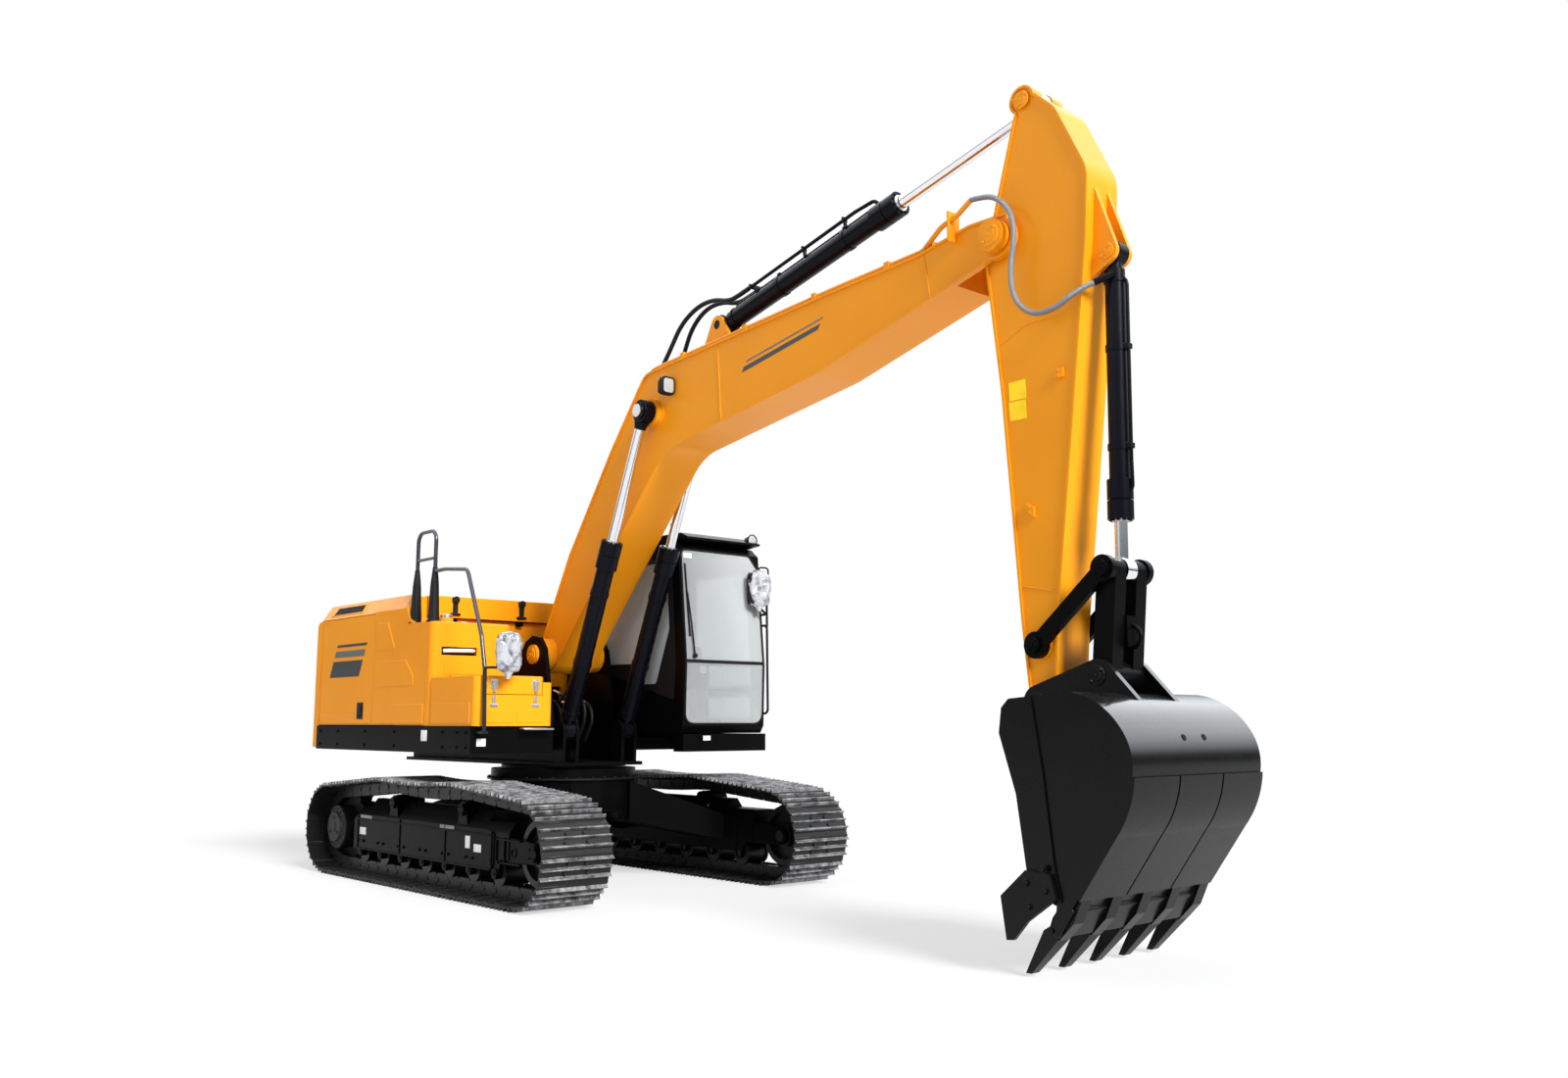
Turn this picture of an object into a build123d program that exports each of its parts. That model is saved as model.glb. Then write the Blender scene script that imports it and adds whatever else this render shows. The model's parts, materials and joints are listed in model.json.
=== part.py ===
"""Crawler excavator of the 21 tonne class, as an assembly of its real pieces.

Millimetres. The origin is on the ground under the swing axis, +X points
forward, +Y to the left (the cab's side) and +Z up. The boom, arm and bucket
lie in the X-Z plane through the origin.
"""

from build123d import *
import os
from math import cos, hypot, pi, sin, sqrt

os.makedirs("parts", exist_ok=True)

# ---------------------------------------------------------------- dimensions

SIDES = (("left", 1), ("right", -1))

# Tracks
track_gauge = 2380
shoe_width = 600
link_pitch = 190
link_count = 47
sprocket_teeth = 21              # the chain uses every second tooth
rail_inside = 55                 # rail surface, inward from the chain's pins
shoe_seat = 52                   # shoe plate, outward from the chain's pins
shoe_plate = 10
grouser_height = 26
rail_offset = 75                 # rail centre, to each side of the chain
rail_width = 42
carrier_lift = 85                # upper run, raised over its carrier rollers
carrier_sag = 25
carrier_spacing = 1240
roller_radius = 80
roller_count = 7
roller_pitch = 400
frame_width = 300                # track frame, across
frame_bottom = 335
frame_top = 605

# Carbody and swing bearing
tower_radius = 640
tower_top = 880
bearing_height = 80
bearing_wall = 80
swing_gap = 8
carbody_bottom = 460

# Upper structure
house_half_width = 1355
deck_bottom = 1110
left_deck = 1260                 # top of the left deck, under the cab
right_deck = 1330                # top of the right deck, under tank and tool box
tail_radius = 2750
house_rear = -2290               # front face of the counterweight
main_plate_y = 305               # inner face of the boom's carrying plates
main_plate = 40
bottom_plate = 30
housing_front = -660
housing_top = 2480
shoulder_z = 2340                # where the side walls lean inward
shoulder_in = 90
wall = 30
door_gap = 6
counterweight_top = 2330
side_y = house_half_width - 10   # outer face of the side walls
door_bottom, door_top = right_deck + 8, shoulder_z - 8
right_door_ends = (house_rear + 12, -1096)
left_rear_door_ends = (house_rear + 12, -1470)
left_front_door_ends = (-1455, housing_front - 40)
hinge_socket = 30                # depth of a side door's pin sockets

# Cab
cab_rear = -630
cab_front = 1215
cab_inner_y = 410
cab_outer_y = 1345
cab_floor = 1266
cab_roof = 2960
cab_wall = 45
glass = 6
glass_depth = 12                 # from a panel's outer face in to its pane
waist = 1870                     # joint between the two front windows

# Working equipment: pins, as X and Z
boom_foot = (20, 1960)
lift_foot = (500, 1290)          # lower pins of the boom cylinders
lift_eye = (1590, 3900)          # their rod eyes, on the boom
arm_pin = (5240, 4380)
crowd_foot = (2270, 4530)        # arm cylinder's rear pin, on the boom
crowd_eye = (5430, 5240)         # its rod eye, on the arm
curl_foot = (5970, 4120)         # bucket cylinder's upper pin, on the arm
rocker_pin = (5460, 1810)        # rocker links' pin, on the arm
link_pin = (5945, 2225)          # where rockers, H link and rod meet
bucket_pin = (5470, 1470)
h_link_pin = (5890, 1620)        # H link's lower pin, on the bucket

boom_half = 190
arm_half = 140
flange = 15                      # edge plates stand proud of the side plates
boom_foot_half = 300
lift_y = 300                     # boom cylinders, from the centre plane
eye_half = 45                    # half the width of a cylinder's eye
ear = 30                         # thickness of a bracket's ear
pin_clearance = 0.1
side_clearance = 6               # between an eye and the ear beside it
knuckle = 12                     # radius of a hinge's knuckles
knuckle_end = 25                 # length of each fixed knuckle
hinge_pin = 6
hinge_gap = 8                    # round a door's rolled hinge edge
bucket_half = 635
bucket_plate = 25
wear_plate = 14
tooth_count = 5
tip_height = 20                  # tooth tips above the ground


# ------------------------------------------------------------ shared helpers

def plane_at(y):
    """The X-Z plane at a given y, seen from the right."""
    return Plane.XZ.offset(-y)


def slab(points, low, high, mode=Mode.ADD):
    """A flat plate: an X-Z outline between two values of y."""
    with BuildSketch(plane_at(high)) as outline:
        with BuildLine():
            Polyline(*points, close=True)
        make_face()
    extrude(outline.sketch, amount=high - low, mode=mode)


def deck_slab(points, low, high, mode=Mode.ADD):
    """A flat plate: an X-Y outline between two heights."""
    with BuildSketch(Plane.XY.offset(low)) as outline:
        with BuildLine():
            Polyline(*points, close=True)
        make_face()
    extrude(outline.sketch, amount=high - low, mode=mode)


def across(pin, radius, low, high, mode=Mode.ADD):
    """A cylinder about a pin's axis, between two values of y."""
    with BuildSketch(plane_at(high)) as disc:
        with Locations(pin):
            Circle(radius)
    extrude(disc.sketch, amount=high - low, mode=mode)


def block(x, y, z, mode=Mode.ADD):
    """A box between pairs of limits in x, y and z."""
    with Locations(((x[0] + x[1]) / 2, (y[0] + y[1]) / 2, (z[0] + z[1]) / 2)):
        Box(x[1] - x[0], y[1] - y[0], z[1] - z[0], mode=mode)


def hull_across(discs, low, high, mode=Mode.ADD):
    """The tight outline around discs, each (x, z, radius), between two values of y."""
    with BuildSketch(plane_at(high)) as outline:
        for x, z, radius in discs:
            with Locations((x, z)):
                Circle(radius)
        make_hull()
    extrude(outline.sketch, amount=high - low, mode=mode)


def disc(pin, radius, shift=(0, 0)):
    """A row for hull_across: a disc about a pin, or shifted from it."""
    return (pin[0] + shift[0], pin[1] + shift[1], radius)


def tube_along(points, radius, bend):
    """A round tube along straight runs that are joined by arcs."""
    with BuildLine() as line:
        FilletPolyline(*points, radius=bend)
    with BuildSketch(Plane(origin=line.line @ 0, z_dir=line.line % 0)) as section:
        Circle(radius)
    sweep(section.sketch, path=line.line)


def rod_up(axis, low, high, radius, mode=Mode.ADD):
    """A cylinder along a plane's normal, between two distances from the plane."""
    with BuildSketch(axis.offset(low)) as section:
        Circle(radius)
    extrude(section.sketch, amount=high - low, mode=mode)


def fixed_knuckles(axis, length):
    """A hinge's fixed knuckles, at both ends of the moving one, and the pin between them."""
    rod_up(axis, -1 - knuckle_end, -1, knuckle)
    rod_up(axis, length + 1, length + 1 + knuckle_end, knuckle)
    rod_up(axis, -2, length + 2, hinge_pin)


def cross_axis(hinge, y):
    """A plane across a level hinge, given as (x, z), with its normal to the left."""
    return Plane(origin=(hinge[0], y, hinge[1]), z_dir=(0, 1, 0))


def moving_leaf(hinge, y, reach, seat):
    """A level hinge's moving knuckle, with a leaf on a lid: from the hinge to reach, on its seat."""
    block((hinge[0], reach), (y, y + cross_knuckle), (seat - 1, seat + 7))
    rod_up(cross_axis(hinge, y), 0, cross_knuckle, knuckle)
    rod_up(cross_axis(hinge, y), 0, cross_knuckle, hinge_pin + 0.3, mode=Mode.SUBTRACT)


def fixed_leaf(hinge, y, reach, seat):
    """The fixed knuckles and pin of a level hinge, with their leaves."""
    fixed_knuckles(cross_axis(hinge, y), cross_knuckle)
    for low in (y - knuckle_end - 1, y + cross_knuckle + 1):
        block((reach, hinge[0]), (low, low + knuckle_end), (seat - 1, hinge[1]))


def mirrored(low, high):
    """The same stretch of y on the left and on the right."""
    return ((low, high), (-high, -low))


# ------------------------------------------------------------------- tracks
# The chain's pins lie on one loop: a straight lower run, the idler's half
# turn, an upper run lifted over two carrier rollers, and the sprocket's.

chain_radius = link_pitch * sprocket_teeth / (4 * pi)
tumbler_distance = (link_count * link_pitch - 2 * pi * chain_radius) / 2
shoe_top = shoe_seat + shoe_plate + grouser_height
axle_z = chain_radius + shoe_top
idler_x = tumbler_distance / 2 + 12
sprocket_x = idler_x - tumbler_distance
track_middle = (idler_x + sprocket_x) / 2


def upper_lift(x):
    """How far the upper run stands above the line over idler and sprocket."""
    from_middle = abs(x - track_middle)
    half = carrier_spacing / 2
    if from_middle < half:
        return carrier_lift - carrier_sag * (1 - (from_middle / half) ** 2)
    return carrier_lift * (tumbler_distance / 2 - from_middle) / (tumbler_distance / 2 - half)


def chain_pin(s):
    """The chain's pin line at a distance s from under the sprocket, as (x, z)."""
    half_turn = pi * chain_radius
    s = s % (link_count * link_pitch)
    if s < tumbler_distance:
        return (sprocket_x + s, axle_z - chain_radius)
    s -= tumbler_distance
    if s < half_turn:
        turn = s / chain_radius
        return (idler_x + chain_radius * sin(turn), axle_z - chain_radius * cos(turn))
    s -= half_turn
    if s < tumbler_distance:
        x = idler_x - s
        return (x, axle_z + chain_radius + upper_lift(x))
    turn = (s - tumbler_distance) / chain_radius
    return (sprocket_x - chain_radius * sin(turn), axle_z + chain_radius * cos(turn))


chain_pins = [chain_pin(link_pitch * i) for i in range(link_count)]


def on_link(i, along, outward):
    """A point on link i: a share of its length along, and a distance outward."""
    (x0, z0), (x1, z1) = chain_pins[i], chain_pins[(i + 1) % link_count]
    run_x, run_z = (x1 - x0) / link_pitch, (z1 - z0) / link_pitch
    return (
        x0 + along * (x1 - x0) + outward * run_z,
        z0 + along * (z1 - z0) - outward * run_x,
    )


# One shoe's outline: share of the pitch, and height above the shoe's seat.
# Three grousers stand on the plate, and a groove parts it from the next shoe.
shoe_profile = (
    (0.02, 4), (0.04, shoe_plate),
    (0.08, shoe_plate), (0.12, shoe_plate + grouser_height), (0.17, shoe_plate + grouser_height),
    (0.24, shoe_plate), (0.45, shoe_plate), (0.49, shoe_plate + grouser_height),
    (0.54, shoe_plate + grouser_height), (0.58, shoe_plate), (0.78, shoe_plate),
    (0.83, shoe_plate + grouser_height), (0.88, shoe_plate + grouser_height),
    (0.93, shoe_plate), (0.97, shoe_plate), (0.985, 4),
)
shoe_line = [
    on_link(i, along, shoe_seat + height)
    for i in range(link_count)
    for along, height in shoe_profile
]
seat_line = [on_link(i, 0, shoe_seat) for i in range(link_count)]
rail_line = [on_link(i, 0, -rail_inside) for i in range(link_count)]

for side, sign in SIDES:
    middle = sign * track_gauge / 2
    with BuildPart() as track:
        with BuildSketch(plane_at(middle + shoe_width / 2)) as shoes:
            with BuildLine():
                Polyline(*shoe_line, close=True)
            make_face()
            with BuildLine() as inside:
                Polyline(*seat_line, close=True)
            make_face(inside.edges(), mode=Mode.SUBTRACT)
        extrude(amount=shoe_width)
        for rail in (-rail_offset, rail_offset):
            with BuildSketch(plane_at(middle + rail + rail_width / 2)) as links:
                with BuildLine():
                    Polyline(*seat_line, close=True)
                make_face()
                with BuildLine() as inside:
                    Polyline(*rail_line, close=True)
                make_face(inside.edges(), mode=Mode.SUBTRACT)
            extrude(amount=rail_width)
    track.part.label = f"track_{side}"
    export_step(track.part, f"parts/track_{side}.step")

# Idler, sprocket and rollers of each track
rail_surface = chain_radius - rail_inside
idler_tread = chain_radius * cos(2 * pi / sprocket_teeth) - rail_inside   # links lie as chords
running_gap = 1.5
carrier_gap = 12
tread_width = 2 * rail_offset + rail_width
lower_rail_z = axle_z - rail_surface
roller_z = lower_rail_z + running_gap + roller_radius
carrier_radius = 60
sprocket_disc = 60
drum_radius = 195
shaft_radius = 45
yoke_inner = tread_width / 2 + 12
yoke = 35
drum_outer = 150
flange_in = tread_width / 2 + 2       # rollers' flanges, outside the rails

for side, sign in SIDES:
    middle = sign * track_gauge / 2
    with BuildPart() as idler:
        with BuildSketch(plane_at(middle + tread_width / 2)):
            with Locations((idler_x, axle_z)):
                Circle(idler_tread - running_gap)
        extrude(amount=tread_width)
        across((idler_x, axle_z), idler_tread + 18, middle - 40, middle + 40)
        for low, high in mirrored(45, tread_width / 2):
            with BuildSketch(plane_at(middle + high)):
                with Locations((idler_x, axle_z)):
                    Circle(idler_tread - 50)
                    Circle(95, mode=Mode.SUBTRACT)
            extrude(amount=high - low, mode=Mode.SUBTRACT)
        across((idler_x, axle_z), shaft_radius, middle - yoke_inner - yoke, middle + yoke_inner + yoke)
    idler.part.label = f"idler_{side}"
    export_step(idler.part, f"parts/idler_{side}.step")

    with BuildPart() as sprocket:
        with BuildSketch(plane_at(middle + sprocket_disc / 2)):
            with Locations((sprocket_x, axle_z)):
                Circle(chain_radius + 4)
            with Locations((sprocket_x, axle_z)):
                with PolarLocations(chain_radius + 4, sprocket_teeth, start_angle=-90):
                    Circle(30, mode=Mode.SUBTRACT)
        extrude(amount=sprocket_disc)
        outer, inner = (sprocket_disc / 2, drum_outer), (-drum_outer, -sprocket_disc / 2)
        for low, high in (outer, inner):
            ends = sorted((middle + sign * low, middle + sign * high))
            across((sprocket_x, axle_z), drum_radius, *ends)
    sprocket.part.label = f"sprocket_{side}"
    export_step(sprocket.part, f"parts/sprocket_{side}.step")

    roller_row = [
        (track_middle + roller_pitch * (i - (roller_count - 1) / 2), roller_z)
        for i in range(roller_count)
    ]
    with BuildPart() as rollers:
        for place in roller_row:
            across(place, roller_radius, middle - flange_in, middle + flange_in)
            for low, high in mirrored(flange_in, flange_in + 17):
                across(place, roller_radius + 16, middle + low, middle + high)
            across(place, 32, middle - frame_width / 2 + 10, middle + frame_width / 2 - 10)
    rollers.part.label = f"track_rollers_{side}"
    export_step(rollers.part, f"parts/track_rollers_{side}.step")

    with BuildPart() as frame:
        with BuildSketch(Plane.YZ.offset(sprocket_x + 420)):
            with BuildLine():
                half = frame_width / 2
                Polyline(
                    (middle - half, frame_bottom), (middle + half, frame_bottom),
                    (middle + half, frame_top - 70), (middle + half - 60, frame_top),
                    (middle - half + 60, frame_top), (middle - half, frame_top - 70),
                    close=True,
                )
            make_face()
        extrude(amount=idler_x - rail_surface - 80 - (sprocket_x + 420))
        # roller brackets under the beam, at both ends of each shaft
        for x, z in roller_row:
            for low, high in mirrored(half - 30, half):
                hull_across(
                    ((x, z, 42), (x - 40, frame_bottom, 30), (x + 40, frame_bottom, 30)),
                    middle + low, middle + high,
                )
                across((x, z), 32, middle + low, middle + high, mode=Mode.SUBTRACT)
        # carrier rollers on posts
        for x in (track_middle - carrier_spacing / 2, track_middle + carrier_spacing / 2):
            top = axle_z + rail_surface + upper_lift(x)
            place = (x, top - carrier_gap - carrier_radius)
            across(place, carrier_radius, middle - tread_width / 2, middle + tread_width / 2)
            across(place, 40, middle - half + 20, middle + half - 20)
            for low, high in mirrored(half - 45, half - 20):
                hull_across(
                    (disc(place, 55), (x - 50, frame_top - 60, 30), (x + 50, frame_top - 60, 30)),
                    middle + low, middle + high,
                )
        # idler yoke in front
        front = idler_x - rail_surface - 80
        for low, high in mirrored(yoke_inner, yoke_inner + yoke):
            hull_across(
                ((idler_x, axle_z, 75), (front - 60, axle_z - 40, 40), (front - 60, axle_z + 60, 40)),
                middle + low, middle + high,
            )
            across((idler_x, axle_z), shaft_radius, middle + low, middle + high, mode=Mode.SUBTRACT)
        # final drive's seat behind, on the inner side
        ends = sorted((middle - sign * half, middle - sign * (half + 35)))
        hull_across(
            (
                (sprocket_x, axle_z, drum_radius + 25),
                (sprocket_x + 480, frame_bottom + 60, 60),
                (sprocket_x + 480, frame_top - 130, 60),
            ),
            *ends,
        )
    frame.part.label = f"track_frame_{side}"
    export_step(frame.part, f"parts/track_frame_{side}.step")

# ------------------------------------------------------ carbody and bearing

leg_reach = track_gauge / 2 - frame_width / 2
tow_eye_x, tow_eye_z = 790, 590
tow_eye_plate = 50
tow_eye_bore = 35
with BuildPart() as carbody:
    with BuildSketch(Plane.XY.offset(carbody_bottom + 60)):
        Circle(tower_radius)
    extrude(amount=tower_top - carbody_bottom - 60)
    for x_sign in (-1, 1):
        for y_sign in (-1, 1):
            with BuildSketch(plane_at(y_sign * 300)) as root_section:
                with Locations((x_sign * 330, 680)):
                    Rectangle(560, 340)
            with BuildSketch(plane_at(y_sign * leg_reach)) as end_section:
                with Locations((x_sign * 800, 440)):
                    Rectangle(440, 220)
            loft([root_section.sketch.face(), end_section.sketch.face()])
    # tow eyes, front and rear: a level plate with an upright hole
    for x_sign in (-1, 1):
        with BuildSketch(Plane.XY.offset(tow_eye_z - tow_eye_plate / 2)) as lug:
            with Locations((x_sign * tow_eye_x, 0)):
                Circle(75)
            with Locations((x_sign * 560, -110), (x_sign * 560, 110)):
                Circle(30)
            make_hull()
            with Locations((x_sign * tow_eye_x, 0)):
                Circle(tow_eye_bore, mode=Mode.SUBTRACT)
        extrude(lug.sketch, amount=tow_eye_plate)
carbody.part.label = "carbody"
export_step(carbody.part, "parts/carbody.step")

with BuildPart() as swing_bearing:
    with BuildSketch(Plane.XY.offset(tower_top)):
        Circle(tower_radius)
        Circle(tower_radius - bearing_wall, mode=Mode.SUBTRACT)
    extrude(amount=bearing_height)
swing_bearing.part.label = "swing_bearing"
export_step(swing_bearing.part, "parts/swing_bearing.step")

# ---------------------------------------------------------- upper structure

side_doors = ((right_door_ends, -1), (left_rear_door_ends, 1), (left_front_door_ends, 1))


def hinge_axis(ends, sign):
    """A side door's hinge: an upright axis in the middle of the wall, near the door's rear end."""
    return Plane((ends[0] + wall / 2, sign * (side_y - wall / 2), 0))


base_z = tower_top + bearing_height + 30
plate_outer = main_plate_y + main_plate
slot_half = cab_inner_y + 20
with BuildPart() as upper_frame:
    # inner ring of the bearing, and the bottom plate on it
    with BuildSketch(Plane.XY.offset(tower_top + 15)):
        Circle(tower_radius - bearing_wall - swing_gap)
        Circle(tower_radius - 2 * bearing_wall - swing_gap, mode=Mode.SUBTRACT)
    extrude(amount=base_z - tower_top - 15)
    block((house_rear, 620), (-420, 420), (base_z, base_z + bottom_plate))
    # the two plates that carry the boom, run back to the counterweight
    floor = base_z + bottom_plate
    plate_line = (
        (house_rear, floor), (house_rear, 1310), (-900, 1310), (-430, 1700),
        (-140, 2080), (-20, 2130), (90, 2110), (180, 2010), (340, 1300), (355, floor),
    )
    for low, high in mirrored(main_plate_y, plate_outer):
        slab(plate_line, low, high)
        across(boom_foot, 45 + pin_clearance, low, high, mode=Mode.SUBTRACT)
    # brackets of the boom cylinders' lower pins
    lift_in, lift_out = lift_y - eye_half - side_clearance, lift_y + eye_half + side_clearance
    for low, high in mirrored(lift_in - ear, lift_in) + mirrored(lift_out, lift_out + ear):
        hull_across(
            (disc(lift_foot, 90), (410, floor, 20), (560, floor, 20)), low, high,
        )
        across(lift_foot, 40 + pin_clearance, low, high, mode=Mode.SUBTRACT)
    # outer rails, cross members and decks
    block((house_rear, cab_front - 10), (house_half_width - 100, house_half_width), (deck_bottom, left_deck))
    block((house_rear, housing_front), (house_half_width - 100, house_half_width), (deck_bottom, right_deck))
    block((house_rear, 780), (-house_half_width, 100 - house_half_width), (deck_bottom, right_deck))
    for x in (house_rear, -1500, -660, 120):
        block((x, x + 140), (plate_outer - 1, house_half_width - 99), (deck_bottom, deck_bottom + 110))
        block((x, x + 140), (99 - house_half_width, 1 - plate_outer), (deck_bottom, deck_bottom + 110))
    block((cab_front - 150, cab_front - 10), (slot_half, house_half_width - 99), (deck_bottom, left_deck))
    block((640, 780), (99 - house_half_width, -600), (deck_bottom, right_deck))
    deck_slab(
        (
            (house_rear, plate_outer - 1), (300, plate_outer - 1), (300, slot_half),
            (cab_front - 10, slot_half), (cab_front - 10, house_half_width - 90),
            (house_rear, house_half_width - 90),
        ),
        left_deck - 20, left_deck,
    )
    deck_slab(
        (
            (house_rear, 1 - plate_outer), (300, 1 - plate_outer), (300, -600), (780, -600),
            (780, 90 - house_half_width), (house_rear, 90 - house_half_width),
        ),
        right_deck - 20, right_deck,
    )
    # lower pins of the side doors' hinges
    for ends, sign in side_doors:
        rod_up(hinge_axis(ends, sign), right_deck - 1, door_bottom + hinge_socket - 5, hinge_pin)
upper_frame.part.label = "upper_frame"
export_step(upper_frame.part, "parts/upper_frame.step")

weight_side = house_half_width - 10
weight_corner = -sqrt(tail_radius**2 - weight_side**2)
with BuildPart() as counterweight:
    with BuildSketch(Plane.XY.offset(deck_bottom + 15)):
        with BuildLine():
            Line((weight_corner, weight_side), (house_rear - 4, weight_side))
            Line((house_rear - 4, weight_side), (house_rear - 4, -weight_side))
            Line((house_rear - 4, -weight_side), (weight_corner, -weight_side))
            ThreePointArc((weight_corner, -weight_side), (-tail_radius, 0), (weight_corner, weight_side))
        make_face()
    extrude(amount=counterweight_top - deck_bottom - 15)
    fillet(counterweight.faces().sort_by(Axis.Z)[-1].edges().filter_by(GeomType.CIRCLE), 60)
counterweight.part.label = "counterweight"
export_step(counterweight.part, "parts/counterweight.step")

with BuildPart() as engine_block:
    block((-1800, -1050), (-700, 620), (left_deck + 80, 2150))
engine_block.part.label = "engine_block"
export_step(engine_block.part, "parts/engine_block.step")

# ----------------------------------------------- engine bay, doors and hood

roof_y = side_y - shoulder_in
housing_outline = (
    (-side_y, right_deck), (-side_y, shoulder_z), (-roof_y, housing_top),
    (roof_y, housing_top), (side_y, shoulder_z), (side_y, right_deck),
)
housing_inside = (
    (wall - side_y, right_deck), (wall - side_y, shoulder_z - 12), (14 - roof_y, housing_top - wall),
    (roof_y - 14, housing_top - wall), (side_y - wall, shoulder_z - 12), (side_y - wall, right_deck),
)
hood_half = 1060
hood_rear = house_rear + 130
hood_front = housing_front + 60
hood_skin = 25
hood_top = housing_top + 12
hood_hinge = (hood_rear - 10, hood_top + 2)
hood_hinge_ys = (-820, -30, 760)
cross_knuckle = 60
side_panel_rear = right_door_ends[1] + door_gap


def door_cut(ends, sign):
    """A door's opening through a side wall, with the hinge's upper pin in it."""
    skin = sorted((sign * (side_y + 10), sign * (side_y - wall - 10)))
    opening = (ends[0] - hinge_gap, ends[1] + door_gap)
    block(opening, skin, (door_bottom - 20, door_top + door_gap), mode=Mode.SUBTRACT)
    rod_up(hinge_axis(ends, sign), door_top - hinge_socket + 5, door_top + door_gap + 1, hinge_pin)


with BuildPart() as engine_housing:
    with BuildSketch(Plane.YZ.offset(house_rear)):
        with BuildLine():
            Polyline(*housing_outline, close=True)
        make_face()
        with BuildLine() as inside:
            Polyline(*housing_inside, close=True)
        make_face(inside.edges(), mode=Mode.SUBTRACT)
    extrude(amount=housing_front - house_rear)
    # front wall, below the hood's front edge
    with BuildSketch(Plane.YZ.offset(housing_front - wall)):
        with BuildLine():
            Polyline(*housing_outline, close=True)
        make_face()
    extrude(amount=wall)
    block(
        (housing_front - 40, housing_front + 10), (-plate_outer - 10, plate_outer + 10),
        (right_deck - 10, 1700),
        mode=Mode.SUBTRACT,
    )
    block(
        (hood_rear, housing_front + 10), (-hood_half, hood_half), (2290, housing_top + 10),
        mode=Mode.SUBTRACT,
    )
    for ends, sign in side_doors:
        door_cut(ends, sign)
    # the fixed side panel closes the right side in front of the door
    block(
        (side_panel_rear - 3, housing_front + 10), (-side_y - 10, wall - side_y + 2),
        (right_deck - 1, housing_top + 10),
        mode=Mode.SUBTRACT,
    )
    block(
        (side_panel_rear - 3, housing_front + 10), (-side_y - 10, -roof_y + 40),
        (shoulder_z - 60, housing_top + 10),
        mode=Mode.SUBTRACT,
    )
    for y in hood_hinge_ys:
        fixed_leaf(hood_hinge, y, hood_rear - 60, housing_top)
engine_housing.part.label = "engine_housing"
export_step(engine_housing.part, "parts/engine_housing.step")


def hinged_door(ends, sign):
    """A side door: a pressed skin with a folded rim, and a rolled edge round its hinge's pins."""
    outer, inner = sign * side_y, sign * (side_y - wall)
    pin = hinge_axis(ends, sign)
    block((pin.origin.X, ends[1]), sorted((outer, inner)), (door_bottom, door_top))
    rod_up(pin, door_bottom, door_top, wall / 2)
    pocket = sorted((sign * (side_y - 4), sign * (side_y - wall - 1)))
    block(
        (ends[0] + 40, ends[1] - 40), pocket, (door_bottom + 40, door_top - 40),
        mode=Mode.SUBTRACT,
    )
    for low in (door_bottom, door_top - hinge_socket):
        rod_up(pin, low, low + hinge_socket, hinge_pin + 0.3, mode=Mode.SUBTRACT)


with BuildPart() as right_door:
    hinged_door(right_door_ends, -1)
right_door.part.label = "right_door"
export_step(right_door.part, "parts/right_door.step")

with BuildPart() as left_rear_door:
    hinged_door(left_rear_door_ends, 1)
left_rear_door.part.label = "left_rear_door"
export_step(left_rear_door.part, "parts/left_rear_door.step")

with BuildPart() as left_front_door:
    hinged_door(left_front_door_ends, 1)
left_front_door.part.label = "left_front_door"
export_step(left_front_door.part, "parts/left_front_door.step")

with BuildPart() as engine_hood:
    block(
        (hood_rear + door_gap, hood_front), (door_gap - hood_half, hood_half - door_gap),
        (2300, hood_top),
    )
    # the left front corner stands back from the cab
    block(
        (housing_front - 1, hood_front + 1), (cab_inner_y - 40, hood_half), (2290, housing_top + 20),
        mode=Mode.SUBTRACT,
    )
    fillet(engine_hood.faces().sort_by(Axis.Z)[-1].edges(), 10)
    block(
        (hood_rear + door_gap + hood_skin, housing_front - 1),
        (door_gap + hood_skin - hood_half, hood_half - door_gap - hood_skin),
        (2290, hood_top - hood_skin),
        mode=Mode.SUBTRACT,
    )
    for y in hood_hinge_ys:
        moving_leaf(hood_hinge, y, hood_rear + 80, hood_top)
engine_hood.part.label = "engine_hood"
export_step(engine_hood.part, "parts/engine_hood.step")

# --------------------------------------- right side panel, tank and tool box

tank_top = 2210
tank_front = 50
tank_left = -605
panel_front = -60
step_start = -520
with BuildPart() as side_panel:
    with BuildSketch(plane_at(wall - side_y)):
        with BuildLine():
            Line((side_panel_rear, door_bottom), (panel_front, door_bottom))
            Line((panel_front, door_bottom), (panel_front, tank_top))
            Line((panel_front, tank_top), (-300, tank_top))
            ThreePointArc((-300, tank_top), (-405, 2270), (-450, shoulder_z + 10))
            Line((-450, shoulder_z + 10), (side_panel_rear, shoulder_z + 10))
            Line((side_panel_rear, shoulder_z + 10), (side_panel_rear, door_bottom))
        make_face()
    extrude(amount=wall)
    # the shoulder that carries the roof's line forward
    with BuildSketch(Plane.YZ.offset(side_panel_rear)):
        with BuildLine():
            Polyline(
                (-side_y, shoulder_z), (-roof_y, housing_top), (-roof_y + 38, housing_top),
                (-roof_y + 38, housing_top - wall), (14 - roof_y, housing_top - wall),
                (wall - side_y, shoulder_z - 12), (wall - side_y, shoulder_z - 40),
                (-side_y, shoulder_z - 40),
                close=True,
            )
        make_face()
    extrude(amount=step_start - side_panel_rear)
    with BuildSketch(Plane.YZ.offset(step_start)):
        with BuildLine():
            Polyline(
                (-side_y, shoulder_z - 40), (-side_y, shoulder_z), (-roof_y, housing_top),
                (-roof_y + 38, housing_top), (-roof_y + 38, shoulder_z - 40),
                close=True,
            )
        make_face()
    with BuildSketch(Plane.YZ.offset(-430)):
        with BuildLine():
            Polyline(
                (-side_y, 2250), (-side_y, 2290), (-side_y + 20, 2330),
                (-roof_y + 38, 2330), (-roof_y + 38, 2250),
                close=True,
            )
        make_face()
    loft()
side_panel.part.label = "right_side_panel"
export_step(side_panel.part, "parts/right_side_panel.step")

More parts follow.
